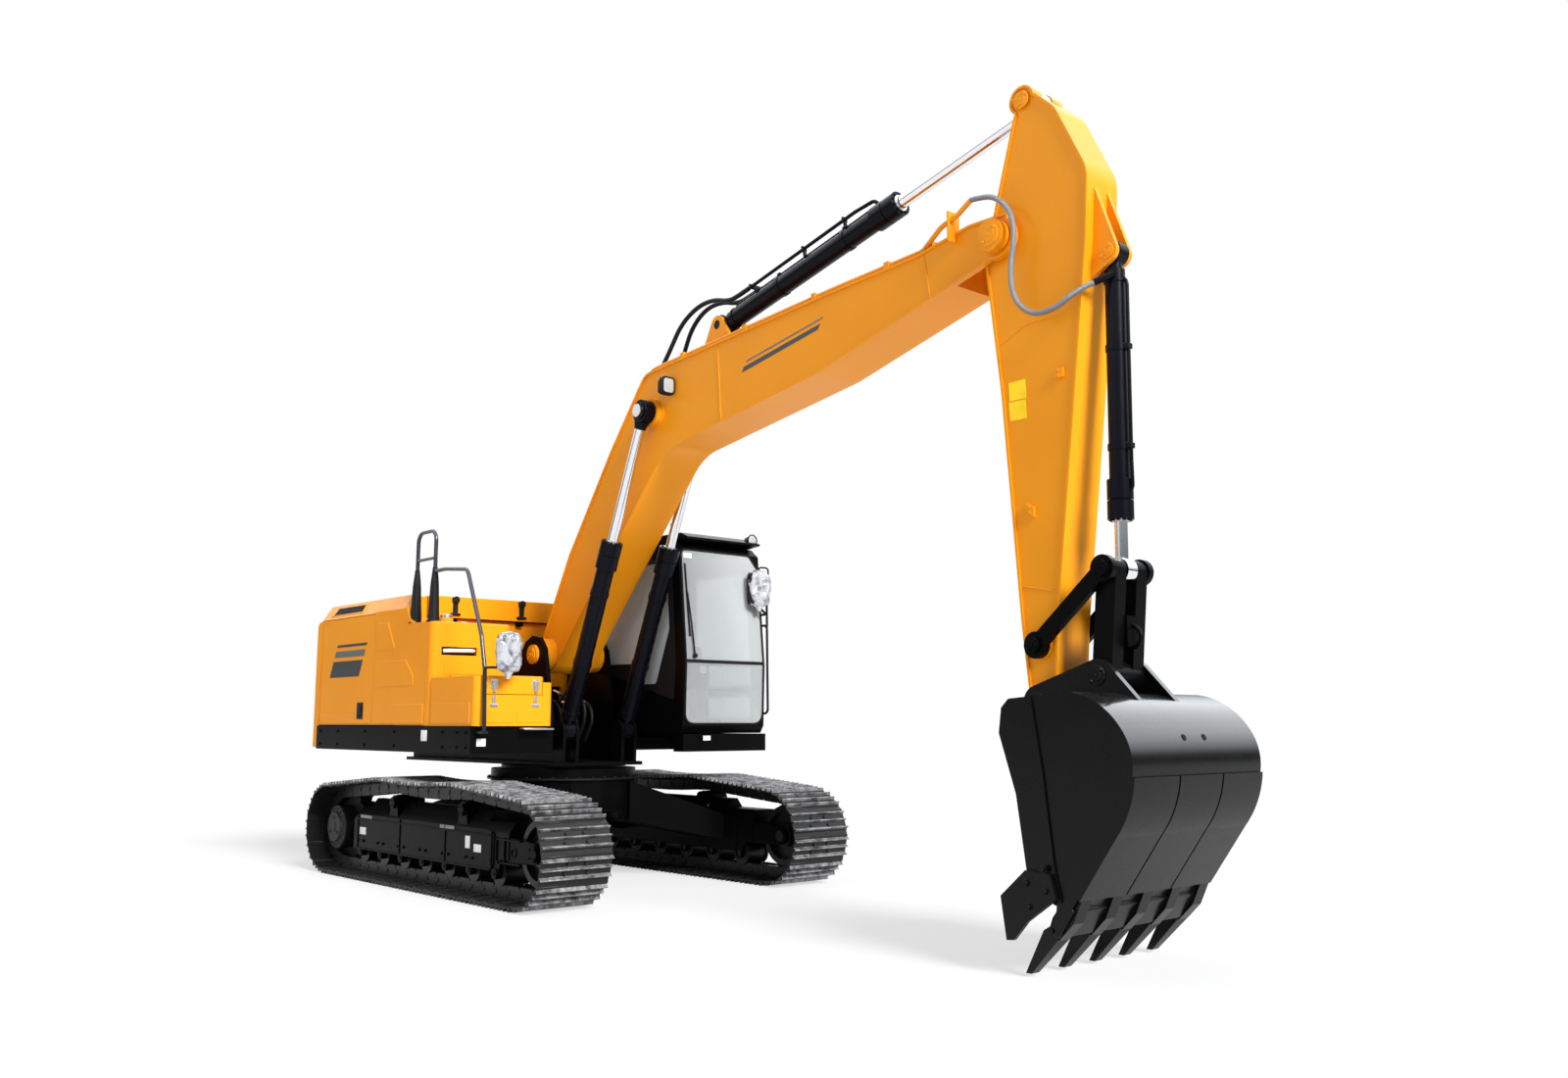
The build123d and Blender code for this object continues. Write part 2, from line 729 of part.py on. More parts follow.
with BuildPart() as tank:
    block((housing_front + 5, tank_front), (wall - side_y + 2, tank_left), (right_deck, tank_top))
    block((panel_front + 3, tank_front), (-side_y, wall - side_y + 3), (right_deck, tank_top))
    fillet(
        tank.edges().filter_by(Axis.Z).group_by(Axis.X)[-1].sort_by(Axis.Y)[0], 60,
    )
    fillet(
        tank.edges().filter_by(Axis.Z).group_by(Axis.X)[-1].sort_by(Axis.Y)[-1], 40,
    )
    fillet(tank.faces().sort_by(Axis.Z)[-1].edges().filter_by(Axis.Y).sort_by(Axis.X)[-1], 20)
    block((tank_front - 25, tank_front + 5), (-1260, -930), (1925, 1995), mode=Mode.SUBTRACT)
tank.part.label = "hydraulic_tank"
export_step(tank.part, "parts/hydraulic_tank.step")

box_rear, box_front = tank_front + 4, 825
box_top = 1730
box_left = -630
lid_left, lid_right = -735, -1255
lid_split = 1580
lid_hinge = (box_rear + 64, box_top + 14)
lid_hinge_ys = (-1180, -870)
with BuildPart() as tool_box:
    block((box_rear, box_front), (-side_y, box_left), (right_deck, box_top))
    fillet(tool_box.edges().filter_by(Axis.Z).group_by(Axis.X)[-1], 55)
    block(
        (box_rear - 1, box_front + 1), (lid_left + 1, box_left + 1), (box_top - 45, box_top + 1),
        mode=Mode.SUBTRACT,
    )
    # the lid's seat, then the box's inside
    block(
        (box_rear + 70, box_front + 1), (lid_right, lid_left), (box_top - 30, box_top + 1),
        mode=Mode.SUBTRACT,
    )
    block(
        (box_front - 32, box_front + 1), (lid_right, lid_left), (lid_split, box_top + 1),
        mode=Mode.SUBTRACT,
    )
    block(
        (box_rear + 40, box_front - 40), (lid_right + 30, lid_left - 30), (right_deck + 30, box_top + 1),
        mode=Mode.SUBTRACT,
    )
    for y in lid_hinge_ys:
        fixed_leaf(lid_hinge, y, box_rear + 30, box_top)
tool_box.part.label = "tool_box"
export_step(tool_box.part, "parts/tool_box.step")

with BuildPart() as tool_box_lid:
    lid_y = (lid_right + door_gap, lid_left - door_gap)
    block((box_rear + 76, box_front), lid_y, (box_top - 24, box_top + 4))
    block((box_front - 26, box_front), lid_y, (lid_split + door_gap, box_top - 20))
    fillet(tool_box_lid.edges().filter_by(Axis.Y).group_by(Axis.X)[-1].sort_by(Axis.Z)[-1], 18)
    for y in lid_hinge_ys:
        moving_leaf(lid_hinge, y, box_rear + 130, box_top + 4)
tool_box_lid.part.label = "tool_box_lid"
export_step(tool_box_lid.part, "parts/tool_box_lid.step")

# ---------------------------------------------------------------------- cab

cab_line = (
    (cab_rear, cab_floor), (cab_front - 40, cab_floor), (cab_front, cab_floor + 60),
    (cab_front + 15, waist), (cab_front - 85, cab_roof - 90), (cab_front - 170, cab_roof - 20),
    (cab_front - 400, cab_roof), (cab_rear + 150, cab_roof), (cab_rear, cab_roof - 110),
)
door_rear, door_front = 120, cab_front - 110
door_low, door_high = cab_floor + 50, cab_roof - 160
door_hinge = (door_rear - 12, cab_outer_y + 14)
door_hinge_heights = (1420, 2080, 2640)
door_knuckle = 60
left_window = (
    (cab_rear + 90, 1900), (door_rear - 80, 1900), (door_rear - 80, door_high - 20),
    (cab_rear + 90, door_high - 20),
)
right_window = (
    (cab_rear + 110, 1950), (cab_front - 130, 1560), (cab_front - 110, waist),
    (cab_front - 190, door_high), (cab_rear + 110, door_high),
)
rear_window_y, rear_window_z = (cab_inner_y + 100, cab_outer_y - 100), (1950, door_high)
front_window_y = (cab_inner_y + 60, cab_outer_y - 75)
lower_window_z = (cab_floor + 120, waist - 20)
upper_window_z = (waist + 20, cab_roof - 150)
roof_window_x, roof_window_y = (cab_rear + 420, cab_front - 420), (cab_inner_y + 200, cab_outer_y - 200)


def front_face(z):
    """X of the cab's front face at a height."""
    for (x0, z0), (x1, z1) in zip(cab_line[2:], cab_line[3:5]):
        if z0 <= z <= z1:
            return x0 + (x1 - x0) * (z - z0) / (z1 - z0)


with BuildPart() as cab:
    slab(cab_line, cab_inner_y, cab_outer_y)
    fillet(
        cab.edges().filter_by(lambda e: e.center().Y > cab_outer_y - 1 and e.center().Z > cab_floor + 5), 40,
    )
    with BuildSketch(plane_at(cab_outer_y - cab_wall)) as inside:
        with BuildLine():
            Polyline(*cab_line, close=True)
        make_face()
        offset(amount=-cab_wall, kind=Kind.INTERSECTION, mode=Mode.REPLACE)
    extrude(inside.sketch, amount=cab_outer_y - cab_inner_y - 2 * cab_wall, mode=Mode.SUBTRACT)
    # door opening and side windows
    slab(
        (
            (door_rear, door_low), (door_front, door_low), (door_front + 15, waist),
            (door_front - 70, door_high), (door_rear, door_high),
        ),
        cab_outer_y - cab_wall - 5, cab_outer_y + 5, mode=Mode.SUBTRACT,
    )
    slab(left_window, cab_outer_y - cab_wall - 5, cab_outer_y + 5, mode=Mode.SUBTRACT)
    slab(right_window, cab_inner_y - 5, cab_inner_y + cab_wall + 5, mode=Mode.SUBTRACT)
    block((cab_rear - 5, cab_rear + cab_wall + 5), rear_window_y, rear_window_z, mode=Mode.SUBTRACT)
    for window_z in (lower_window_z, upper_window_z):
        block((cab_front - 160, cab_front + 40), front_window_y, window_z, mode=Mode.SUBTRACT)
    block(roof_window_x, roof_window_y, (cab_roof - cab_wall - 5, cab_roof + 5), mode=Mode.SUBTRACT)
    # hinge brackets of the door, behind its opening
    for height in door_hinge_heights:
        fixed_knuckles(Plane((*door_hinge, height)), door_knuckle)
        for low in (height - knuckle_end - 1, height + door_knuckle + 1):
            block(
                (door_hinge[0] - 60, door_hinge[0]), (cab_outer_y - 5, door_hinge[1] - 4),
                (low, low + knuckle_end),
            )
cab.part.label = "cab"
export_step(cab.part, "parts/cab.step")

# Panes, one for each window; they fill their openings' edges
with BuildPart() as cab_glass:
    slab(left_window, cab_outer_y - glass_depth - glass, cab_outer_y - glass_depth)
    slab(right_window, cab_inner_y + glass_depth, cab_inner_y + glass_depth + glass)
    block((cab_rear + glass_depth, cab_rear + glass_depth + glass), rear_window_y, rear_window_z)
    for low, high in (lower_window_z, upper_window_z):
        outer = glass_depth
        slab(
            (
                (front_face(low) - outer, low), (front_face(high) - outer, high),
                (front_face(high) - outer - glass, high), (front_face(low) - outer - glass, low),
            ),
            *front_window_y,
        )
    block(roof_window_x, roof_window_y, (cab_roof - glass_depth - glass, cab_roof - glass_depth))
cab_glass.part.label = "cab_glass"
export_step(cab_glass.part, "parts/cab_glass.step")

door_line = (
    (door_rear + door_gap, door_low + door_gap), (door_front - door_gap, door_low + door_gap),
    (door_front + 15 - door_gap, waist), (door_front - 72 - door_gap, door_high - door_gap),
    (door_rear + door_gap, door_high - door_gap),
)
door_rim = 60
with BuildPart() as cab_door:
    slab(door_line, cab_outer_y - cab_wall + 5, cab_outer_y)
    with BuildSketch(plane_at(cab_outer_y + 5)) as window:
        with BuildLine():
            Polyline(*door_line, close=True)
        make_face()
        offset(amount=-door_rim, kind=Kind.INTERSECTION, mode=Mode.REPLACE)
        with Locations(((door_rear + door_front) / 2, waist - 230)):
            Rectangle(door_front - door_rear, 70, mode=Mode.SUBTRACT)
    extrude(window.sketch, amount=cab_wall + 5, mode=Mode.SUBTRACT)
    for height in door_hinge_heights:
        leaf_z = (height, height + door_knuckle)
        block((door_hinge[0], door_rear + 70), (cab_outer_y + 2, door_hinge[1] - 4), leaf_z)
        block((door_rear + 20, door_rear + 70), (cab_outer_y - 5, cab_outer_y + 3), leaf_z)
        rod_up(Plane((*door_hinge, height)), 0, door_knuckle, knuckle)
        rod_up(Plane((*door_hinge, height)), 0, door_knuckle, hinge_pin + 0.3, mode=Mode.SUBTRACT)
cab_door.part.label = "cab_door"
export_step(cab_door.part, "parts/cab_door.step")

with BuildPart() as cab_door_glass:
    with BuildSketch(plane_at(cab_outer_y - glass_depth)) as panes:
        with BuildLine():
            Polyline(*door_line, close=True)
        make_face()
        offset(amount=-door_rim, kind=Kind.INTERSECTION, mode=Mode.REPLACE)
        with Locations(((door_rear + door_front) / 2, waist - 230)):
            Rectangle(door_front - door_rear, 70, mode=Mode.SUBTRACT)
    extrude(panes.sketch, amount=glass)
cab_door_glass.part.label = "cab_door_glass"
export_step(cab_door_glass.part, "parts/cab_door_glass.step")

seat_x, seat_y = 120, (cab_inner_y + cab_outer_y) / 2 + 10
inner_floor = cab_floor + cab_wall
with BuildPart() as seat:
    block((seat_x - 220, seat_x + 220), (seat_y - 200, seat_y + 200), (inner_floor, 1560))
    block((seat_x - 260, seat_x + 270), (seat_y - 250, seat_y + 250), (1560, 1690))
    fillet(seat.edges().filter_by(Axis.Z), 30)
    slab(
        ((seat_x - 260, 1650), (seat_x - 120, 1650), (seat_x - 230, 2290), (seat_x - 330, 2290)),
        seat_y - 235, seat_y + 235,
    )
    slab(
        ((seat_x - 325, 2330), (seat_x - 240, 2330), (seat_x - 262, 2500), (seat_x - 345, 2500)),
        seat_y - 130, seat_y + 130,
    )
    slab(
        ((seat_x - 300, 2200), (seat_x - 270, 2200), (seat_x - 282, 2360), (seat_x - 312, 2360)),
        seat_y - 60, seat_y + 60,
    )
seat.part.label = "seat"
export_step(seat.part, "parts/seat.step")

with BuildPart() as controls:
    for side_sign in (-1, 1):
        middle = seat_y + side_sign * 330
        block((seat_x - 230, seat_x + 330), (middle - 55, middle + 55), (inner_floor, 1820))
        stick = (seat_x + 270, middle)
        with Locations((stick[0], stick[1], 1900)):
            Cylinder(14, 200)
        with Locations((stick[0], stick[1], 2010)):
            Cylinder(27, 120)
    # travel pedals with their levers
    for side_sign in (-1, 1):
        middle = seat_y + side_sign * 70
        block((seat_x + 620, seat_x + 780), (middle - 45, middle + 45), (inner_floor, inner_floor + 60))
        with Locations((seat_x + 740, middle, inner_floor + 330)):
            Cylinder(13, 560)
controls.part.label = "cab_controls"
export_step(controls.part, "parts/cab_controls.step")

# ------------------------------------------------------- rails and mirrors

rail_tube = 17
rail_y = -1290
u_rear, u_front, u_top, u_bar = -395, -60, 3000, 2760
front_rail = ((880, 1290), (860, 1780), (790, 2050), (520, 2610), (140, 2645), (u_front, 2645))
with BuildPart() as handrails:
    # the upper rail, on the tank
    u_points = ((u_rear, tank_top), (u_rear, u_top), (u_front, u_top), (u_front, tank_top))
    tube_along([(x, rail_y, z) for x, z in u_points], rail_tube, 90)
    with BuildSketch(Plane.YZ.offset(u_rear)):
        with Locations((rail_y, u_bar)):
            Circle(rail_tube - 3)
    extrude(amount=u_front - u_rear)
    for x in (u_rear, u_front):
        block((x - 32, x + 32), (rail_y - 12, rail_y + 12), (tank_top, 2540))
    # the front rail, from the deck's corner up to the upper rail
    tube_along([(x, rail_y, z) for x, z in front_rail], rail_tube, 90)
    block((780, 890), (rail_y - 30, rail_y + 30), (1270, 1290))
handrails.part.label = "handrails"
export_step(handrails.part, "parts/handrails.step")


def mirror_head(centre, turn):
    """A mirror's housing: a rounded box that stands across the machine."""
    width, height, depth = 200, 300, 60
    across_head, out_of_head = (Vector(*v).rotate(Axis.Z, turn) for v in ((0, 1, 0), (1, 0, 0)))
    head = Plane(origin=centre, x_dir=across_head, z_dir=out_of_head)
    with BuildSketch(head.offset(-depth / 2)) as outline:
        RectangleRounded(width, height, 45)
    extrude(outline.sketch, amount=depth, taper=4)


with BuildPart() as mirrors:
    # right, on an arm from the front rail
    mirror_head((973, -1144, 1913), 12)
    arm_start = (front_rail[0][0] - 5, rail_y, 1790)
    tube_along([arm_start, (973, rail_y, 1790), (973, -1144, 1790), (973, -1144, 1913)], 11, 40)
    # left, with its grab rail, on the cab's front pillar
    mirror_head((1265, 1215, 2560), -10)
    tube_along([(1150, 1310, 2330), (1265, 1310, 2330), (1265, 1215, 2400), (1265, 1215, 2560)], 11, 30)
    tube_along([(1190, 1310, 2230), (1275, 1310, 2230), (1290, 1310, 1440), (1190, 1310, 1440)], 11, 40)
    add(cab.part, mode=Mode.SUBTRACT)
    add(handrails.part, mode=Mode.SUBTRACT)
mirrors.part.label = "mirrors"
export_step(mirrors.part, "parts/mirrors.step")

# --------------------------------------------------------------------- boom

foot_radius = 165
tip_radius = 140
tip_slot = arm_half + flange + 8
tip_slot_radius = 420
boom_line = (
    (-120, 2050), (330, 2830), (960, 3680), (1450, 4265), (3700, 4410), (4560, 4450), (5020, 4525),
    (5330, 4520), (5360, 4300), (5080, 4215), (3600, 3840), (1751, 3566), (430, 2180), (150, 1850),
)
boom_bends = ((1450, 4265, 160), (1751, 3566, 520), (960, 3680, 900), (3600, 3840, 900))


def beam_outline(line, bends, ends, y, inset=0):
    """A beam's side view: a polygon with rounded bends and round ends.

    Bends and ends are (x, z, radius). It is drawn at y, and an inset draws it
    inside the edge plates.
    """
    with BuildSketch(plane_at(y)) as outline:
        with BuildLine():
            Polyline(*line, close=True)
        make_face()
        if inset:
            offset(amount=-inset, kind=Kind.INTERSECTION, mode=Mode.REPLACE)
        for x, z, radius in bends:
            bend = outline.vertices().sort_by_distance((x, z, 0))[0]
            fillet(bend, radius)
        for x, z, radius in ends:
            with Locations((x, z)):
                Circle(radius - inset)
    return outline.sketch


def box_beam(line, bends, ends, half):
    """A beam of box section, whose edge plates stand proud of its side plates."""
    outer = half + flange
    extrude(beam_outline(line, bends, ends, outer), amount=2 * outer)
    for low, high in mirrored(half, outer + 1):
        web = beam_outline(line, bends, ends, high, inset=16)
        extrude(web, amount=high - low, mode=Mode.SUBTRACT)


with BuildPart() as boom:
    boom_ends = (disc(boom_foot, foot_radius), disc(arm_pin, tip_radius))
    box_beam(boom_line, boom_bends, boom_ends, boom_half)
    # foot tube and bosses
    across(boom_foot, foot_radius - 20, -boom_foot_half, boom_foot_half)
    across(boom_foot, 45, -plate_outer - 30, plate_outer + 30)
    for low, high in mirrored(plate_outer + 1, plate_outer + 30):
        across(boom_foot, 85, low, high)
    for low, high in mirrored(boom_half - 1, lift_y - eye_half - side_clearance):
        across(lift_eye, 115, low, high)
    # the tip's fork takes the arm's hub
    across(arm_pin, tip_slot_radius, -tip_slot, tip_slot, mode=Mode.SUBTRACT)
    block((arm_pin[0], 5500), (-tip_slot, tip_slot), (4100, 4700), mode=Mode.SUBTRACT)
    across(arm_pin, 50, -boom_half - 80, boom_half + 80)
    for low, high in mirrored(boom_half - 1, boom_half + 80):
        across(arm_pin, 105, low, high)
    # ears for the arm cylinder
    crowd_ear = eye_half + side_clearance
    for low, high in mirrored(crowd_ear, crowd_ear + ear):
        hull_across(
            (disc(crowd_foot, 75), (2080, 4290, 20), (2480, 4300, 20)), low, high,
        )
        across(crowd_foot, 38 + pin_clearance, low, high, mode=Mode.SUBTRACT)
boom.part.label = "boom"
export_step(boom.part, "parts/boom.step")


def along(start, end):
    """Where a cylinder lies: length, and its unit direction in X and Z."""
    length = hypot(end[0] - start[0], end[1] - start[1])
    return length, (end[0] - start[0]) / length, (end[1] - start[1]) / length


def axis_plane(start, end, distance, y):
    """A plane across a cylinder's axis, at a distance from its rear pin."""
    _, run_x, run_z = along(start, end)
    return Plane(
        origin=(start[0] + run_x * distance, y, start[1] + run_z * distance),
        x_dir=(0, 1, 0), z_dir=(run_x, 0, run_z),
    )


pipe = 17
pipe_height = 45                 # the pipes' centre line, off the boom's back
pipe_ys = (-88, 88, 130)
pipe_bends = (900, 250, 900, 400)
hose_pipe_y = -130               # the pipe that feeds the arm's hose
hose_pipe_end = ((4820, -238, 4560), (4960, -238, 4600), (5075, -238, 4668))
hose_pipe_bends = (900, 250, 900, 150, 150, 120)
clamp_places = ((0, 0.75), (1, 0.7), (2, 0.2), (2, 0.55), (2, 0.9), (3, 0.6), (4, 0.5))


def raised(points, height):
    """A polyline moved to its left by a height, with its corners mitred."""
    normals = []
    for (x0, z0), (x1, z1) in zip(points, points[1:]):
        run = hypot(x1 - x0, z1 - z0)
        normals.append(((z0 - z1) / run, (x1 - x0) / run))
    moved = []
    for i, (x, z) in enumerate(points):
        before, after = normals[max(i - 1, 0)], normals[min(i, len(normals) - 1)]
        mitre = height / (1 + before[0] * after[0] + before[1] * after[1])
        moved.append((x + mitre * (before[0] + after[0]), z + mitre * (before[1] + after[1])))
    return moved


pipe_line = raised(((560, 3140),) + boom_line[2:6] + ((4690, 4471),), pipe_height)
with BuildPart() as boom_pipes:
    for y in pipe_ys:
        tube_along([(x, y, z) for x, z in pipe_line], pipe, pipe_bends)
    hose_pipe = [(x, hose_pipe_y, z) for x, z in pipe_line[:-1]] + list(hose_pipe_end)
    tube_along(hose_pipe, pipe, hose_pipe_bends)
    # bracket of its end, on the boom's shoulder
    block((4894, 4906), (-268, -160), (4440, 4640))
    # clamps that hold the pipes to the boom's back, each on a run and at a share of it
    for run, share in clamp_places:
        start, end = pipe_line[run], pipe_line[run + 1]
        length, _, _ = along(start, end)
        for middle in (-109, 109):
            clamp = axis_plane(start, end, share * length, middle)
            with BuildSketch(clamp) as section:
                with Locations((0, -(pipe_height + 1 - pipe - 8) / 2)):
                    Rectangle(94, pipe_height + 1 + pipe + 8)
            extrude(section.sketch, amount=44)
    add(boom.part, mode=Mode.SUBTRACT)
boom_pipes.part.label = "boom_pipes"
export_step(boom_pipes.part, "parts/boom_pipes.step")

# ---------------------------------------------------------------- cylinders
# rear pin, rod eye, barrel's length to the gland's face, piston's place at
# rest, outer radii of barrel, gland and rod, radii of the two eyes, pin radius
# (start, end, gland, piston, barrel_r, gland_r, rod_r, eye_r, pin_r)
CYLINDERS = {
    "boom_cylinder": (lift_foot, lift_eye, 1700, 1160, 75, 92, 42, 88, 40),
    "arm_cylinder": (crowd_foot, crowd_eye, 2010, 1210, 75, 92, 47, 88, 38),
    "bucket_cylinder": (curl_foot, link_pin, 1600, 420, 60, 76, 37, 75, 35),
}
bore_wall = 12
rod_clearance = 0.5
piston_length = 80
gland_length = 110


def barrel_of(name, y):
    """A cylinder's barrel with its rear eye and pin, open at the gland."""
    start, end, gland, _, barrel_r, gland_r, rod_r, eye_r, pin_r = CYLINDERS[name]
    across(start, eye_r, y - eye_half, y + eye_half)
    across(start, pin_r, y - eye_half - side_clearance - ear, y + eye_half + side_clearance + ear)
    tube_start = eye_r + 30
    for first, last, radius in (
        (eye_r / 2, tube_start, eye_half), (tube_start, gland - gland_length + 1, barrel_r),
        (gland - gland_length, gland, gland_r),
    ):
        with BuildSketch(axis_plane(start, end, first, y)) as section:
            Circle(radius)
        extrude(section.sketch, amount=last - first)
    with BuildSketch(axis_plane(start, end, tube_start + 25, y)) as bore:
        Circle(barrel_r - bore_wall)
    extrude(bore.sketch, amount=gland - gland_length + 5 - tube_start, mode=Mode.SUBTRACT)
    with BuildSketch(axis_plane(start, end, gland - gland_length + 29, y)) as neck:
        Circle(rod_r + rod_clearance)
    extrude(neck.sketch, amount=gland_length, mode=Mode.SUBTRACT)


def rod_of(name, y):
    """A cylinder's rod, from its piston to its eye."""
    start, end, _, piston, barrel_r, _, rod_r, eye_r, pin_r = CYLINDERS[name]
    length, _, _ = along(start, end)
    with BuildSketch(axis_plane(start, end, piston, y)) as section:
        Circle(rod_r)
    extrude(section.sketch, amount=length - piston - eye_r / 2)
    with BuildSketch(axis_plane(start, end, piston, y)) as head:
        Circle(barrel_r - bore_wall - rod_clearance)
    extrude(head.sketch, amount=piston_length)
    across(end, eye_r, y - eye_half, y + eye_half)


with BuildPart() as boom_cylinder_barrels:
    for y in (-lift_y, lift_y):
        barrel_of("boom_cylinder", y)
boom_cylinder_barrels.part.label = "boom_cylinder_barrels"
export_step(boom_cylinder_barrels.part, "parts/boom_cylinder_barrels.step")

with BuildPart() as boom_cylinder_rods:
    for y in (-lift_y, lift_y):
        rod_of("boom_cylinder", y)
        outer = sorted((y, y + (eye_half + 35) * (1 if y > 0 else -1)))
        across(lift_eye, 55, *outer)
boom_cylinder_rods.part.label = "boom_cylinder_rods"
export_step(boom_cylinder_rods.part, "parts/boom_cylinder_rods.step")

with BuildPart() as arm_cylinder_barrel:
    barrel_of("arm_cylinder", 0)
arm_cylinder_barrel.part.label = "arm_cylinder_barrel"
export_step(arm_cylinder_barrel.part, "parts/arm_cylinder_barrel.step")

with BuildPart() as arm_cylinder_rod:
    rod_of("arm_cylinder", 0)
arm_cylinder_rod.part.label = "arm_cylinder_rod"
export_step(arm_cylinder_rod.part, "parts/arm_cylinder_rod.step")

# The arm's hose hangs from the boom's pipe, round the arm's pin, to the bucket cylinder's port
hose = 17.5
hose_route = (
    (5120, -240, 4650), (5270, -245, 4630), (5395, -250, 4510), (5430, -250, 4330), (5385, -250, 4130),
    (5400, -248, 3930), (5530, -242, 3795), (5705, -235, 3795), (5835, -210, 3880), (5915, -140, 3925),
)
port_radius = 21
port_gap = 2                     # between the hose's end and the port, which turns a little
port_reach = 124


with BuildPart() as bucket_cylinder_barrel:
    barrel_of("bucket_cylinder", 0)
    inward = (Vector(*hose_route[-1]) - Vector(*hose_route[-2])).normalized()
    port = Plane(origin=Vector(*hose_route[-1]), z_dir=inward)
    rod_up(port, port_gap, port_reach, port_radius)
bucket_cylinder_barrel.part.label = "bucket_cylinder_barrel"
export_step(bucket_cylinder_barrel.part, "parts/bucket_cylinder_barrel.step")

with BuildPart() as bucket_cylinder_rod:
    rod_of("bucket_cylinder", 0)
bucket_cylinder_rod.part.label = "bucket_cylinder_rod"
export_step(bucket_cylinder_rod.part, "parts/bucket_cylinder_rod.step")

# ---------------------------------------------------------------------- arm

hub_half = arm_half + flange
arm_line = (
    (5385, 5210), (5440, 5290), (5540, 5245), (5680, 5110), (5905, 4640), (5880, 4220), (5800, 3560),
    (5600, 1950), (5570, 1500), (5480, 1370), (5385, 1450), (5330, 1950), (5215, 3400), (5105, 4300),
    (5190, 4560),
)
arm_bends = ((5905, 4640, 250), (5215, 3400, 900), (5800, 3560, 900), (5680, 5110, 200))
arm_ends = (disc(arm_pin, 150), disc(crowd_eye, 95), disc(bucket_pin, 110), disc(rocker_pin, 100))
head_slot = eye_half + side_clearance
with BuildPart() as arm:
    box_beam(arm_line, arm_bends, arm_ends, arm_half)
    across(arm_pin, 130, -hub_half, hub_half)
    for pin, radius in ((bucket_pin, 100), (rocker_pin, 88)):
        across(pin, radius, -hub_half, hub_half)
    across(arm_pin, 50 + pin_clearance, -hub_half - 1, hub_half + 1, mode=Mode.SUBTRACT)
    across(bucket_pin, 40 + pin_clearance, -hub_half - 1, hub_half + 1, mode=Mode.SUBTRACT)
    across(rocker_pin, 35 + pin_clearance, -hub_half - 1, hub_half + 1, mode=Mode.SUBTRACT)
    # the slot that takes the arm cylinder's rod eye
    hull_across(
        (
            disc(crowd_eye, 155), disc(crowd_eye, 155, (-400, 0)), disc(crowd_eye, 130, (-60, 400)),
            disc(crowd_eye, 130, (400, 300)),
        ),
        -head_slot, head_slot, mode=Mode.SUBTRACT,
    )
    # ears for the bucket cylinder
    for low, high in mirrored(head_slot, head_slot + ear):
        hull_across(
            (disc(curl_foot, 70), (5860, 4560, 30), (5820, 3980, 20)), low, high,
        )
        across(curl_foot, 35 + pin_clearance, low, high, mode=Mode.SUBTRACT)
arm.part.label = "arm"
export_step(arm.part, "parts/arm.step")

def hanging_radii(points):
    """The largest arc that each corner of a free hose's route leaves room for."""
    radii = []
    for before, corner, after in zip(points, points[1:], points[2:]):
        into, out = Vector(*corner) - Vector(*before), Vector(*after) - Vector(*corner)
        half_turn = into.get_angle(out) / 2 * pi / 180
        radii.append(0.45 * min(into.length, out.length) * cos(half_turn) / sin(half_turn))
    return radii


with BuildPart() as arm_hose:
    radii = hanging_radii(hose_route)
    print("arm hose's radii:", [round(radius) for radius in radii])
    tube_along(hose_route, hose, radii)
arm_hose.part.label = "arm_hose"
export_step(arm_hose.part, "parts/arm_hose.step")

# ------------------------------------------------------- linkage and bucket

rocker_in = hub_half + side_clearance
rocker_plate = 42
with BuildPart() as rocker_links:
    for low, high in mirrored(rocker_in, rocker_in + rocker_plate):
        hull_across((disc(rocker_pin, 48), disc(link_pin, 48)), low, high)
        across(rocker_pin, 80, low, high)
        across(link_pin, 78, low, high)
    across(rocker_pin, 35, -rocker_in - rocker_plate - 15, rocker_in + rocker_plate + 15)
    for low, high in mirrored(rocker_in + rocker_plate - 1, rocker_in + rocker_plate + 20):
        across(link_pin, 52, low, high)
rocker_links.part.label = "rocker_links"
export_step(rocker_links.part, "parts/rocker_links.step")

prong_in = eye_half + side_clearance
prong_out = rocker_in - side_clearance
with BuildPart() as h_link:
    for low, high in mirrored(prong_in, prong_out):
        hull_across((disc(link_pin, 66), disc(h_link_pin, 66)), low, high)
    across(h_link_pin, 78, -prong_out, prong_out)
    block((5850, 6000), (-prong_in - 1, prong_in + 1), (1780, 1960))
    across(h_link_pin, 38 + pin_clearance, -prong_out - 1, prong_out + 1, mode=Mode.SUBTRACT)
h_link.part.label = "h_link"
export_step(h_link.part, "parts/h_link.step")

lip = (5985, 380)
shell_line = ((5610, 1490), (6010, 1520), (6330, 1330), (6390, 1080), (6270, 780), lip)
mouth_line = ((5560, 1440), (5540, 1300), (5650, 970), (5710, 570), (5800, 470))
lip_back = (5880, 400)
edge_strip = mouth_line + ((5935, 415), (5892, 613), (5834, 1086), (5765, 1495), (5610, 1488))
side_cutter = ((5718, 570), (5546, 421), (5582, 190), (5630, 195), (5725, 300), (5920, 435), (5880, 560))
adapter = ((6075, 505), (6040, 560), (5960, 470), (5850, 330), (5820, 250), (5890, 215), (5985, 310))
tooth = ((5915, 330), (5800, 260), (5655, tip_height), (5690, tip_height), (5880, 215))
adapter_half, tooth_half = 45, 32
ear_in = hub_half + side_clearance
ear_plate = 40
tooth_spacing = (2 * bucket_half - 130) / (tooth_count - 1)
wear_gap = 14
wear_width = (2 * bucket_half - 2 * wear_gap) / 3
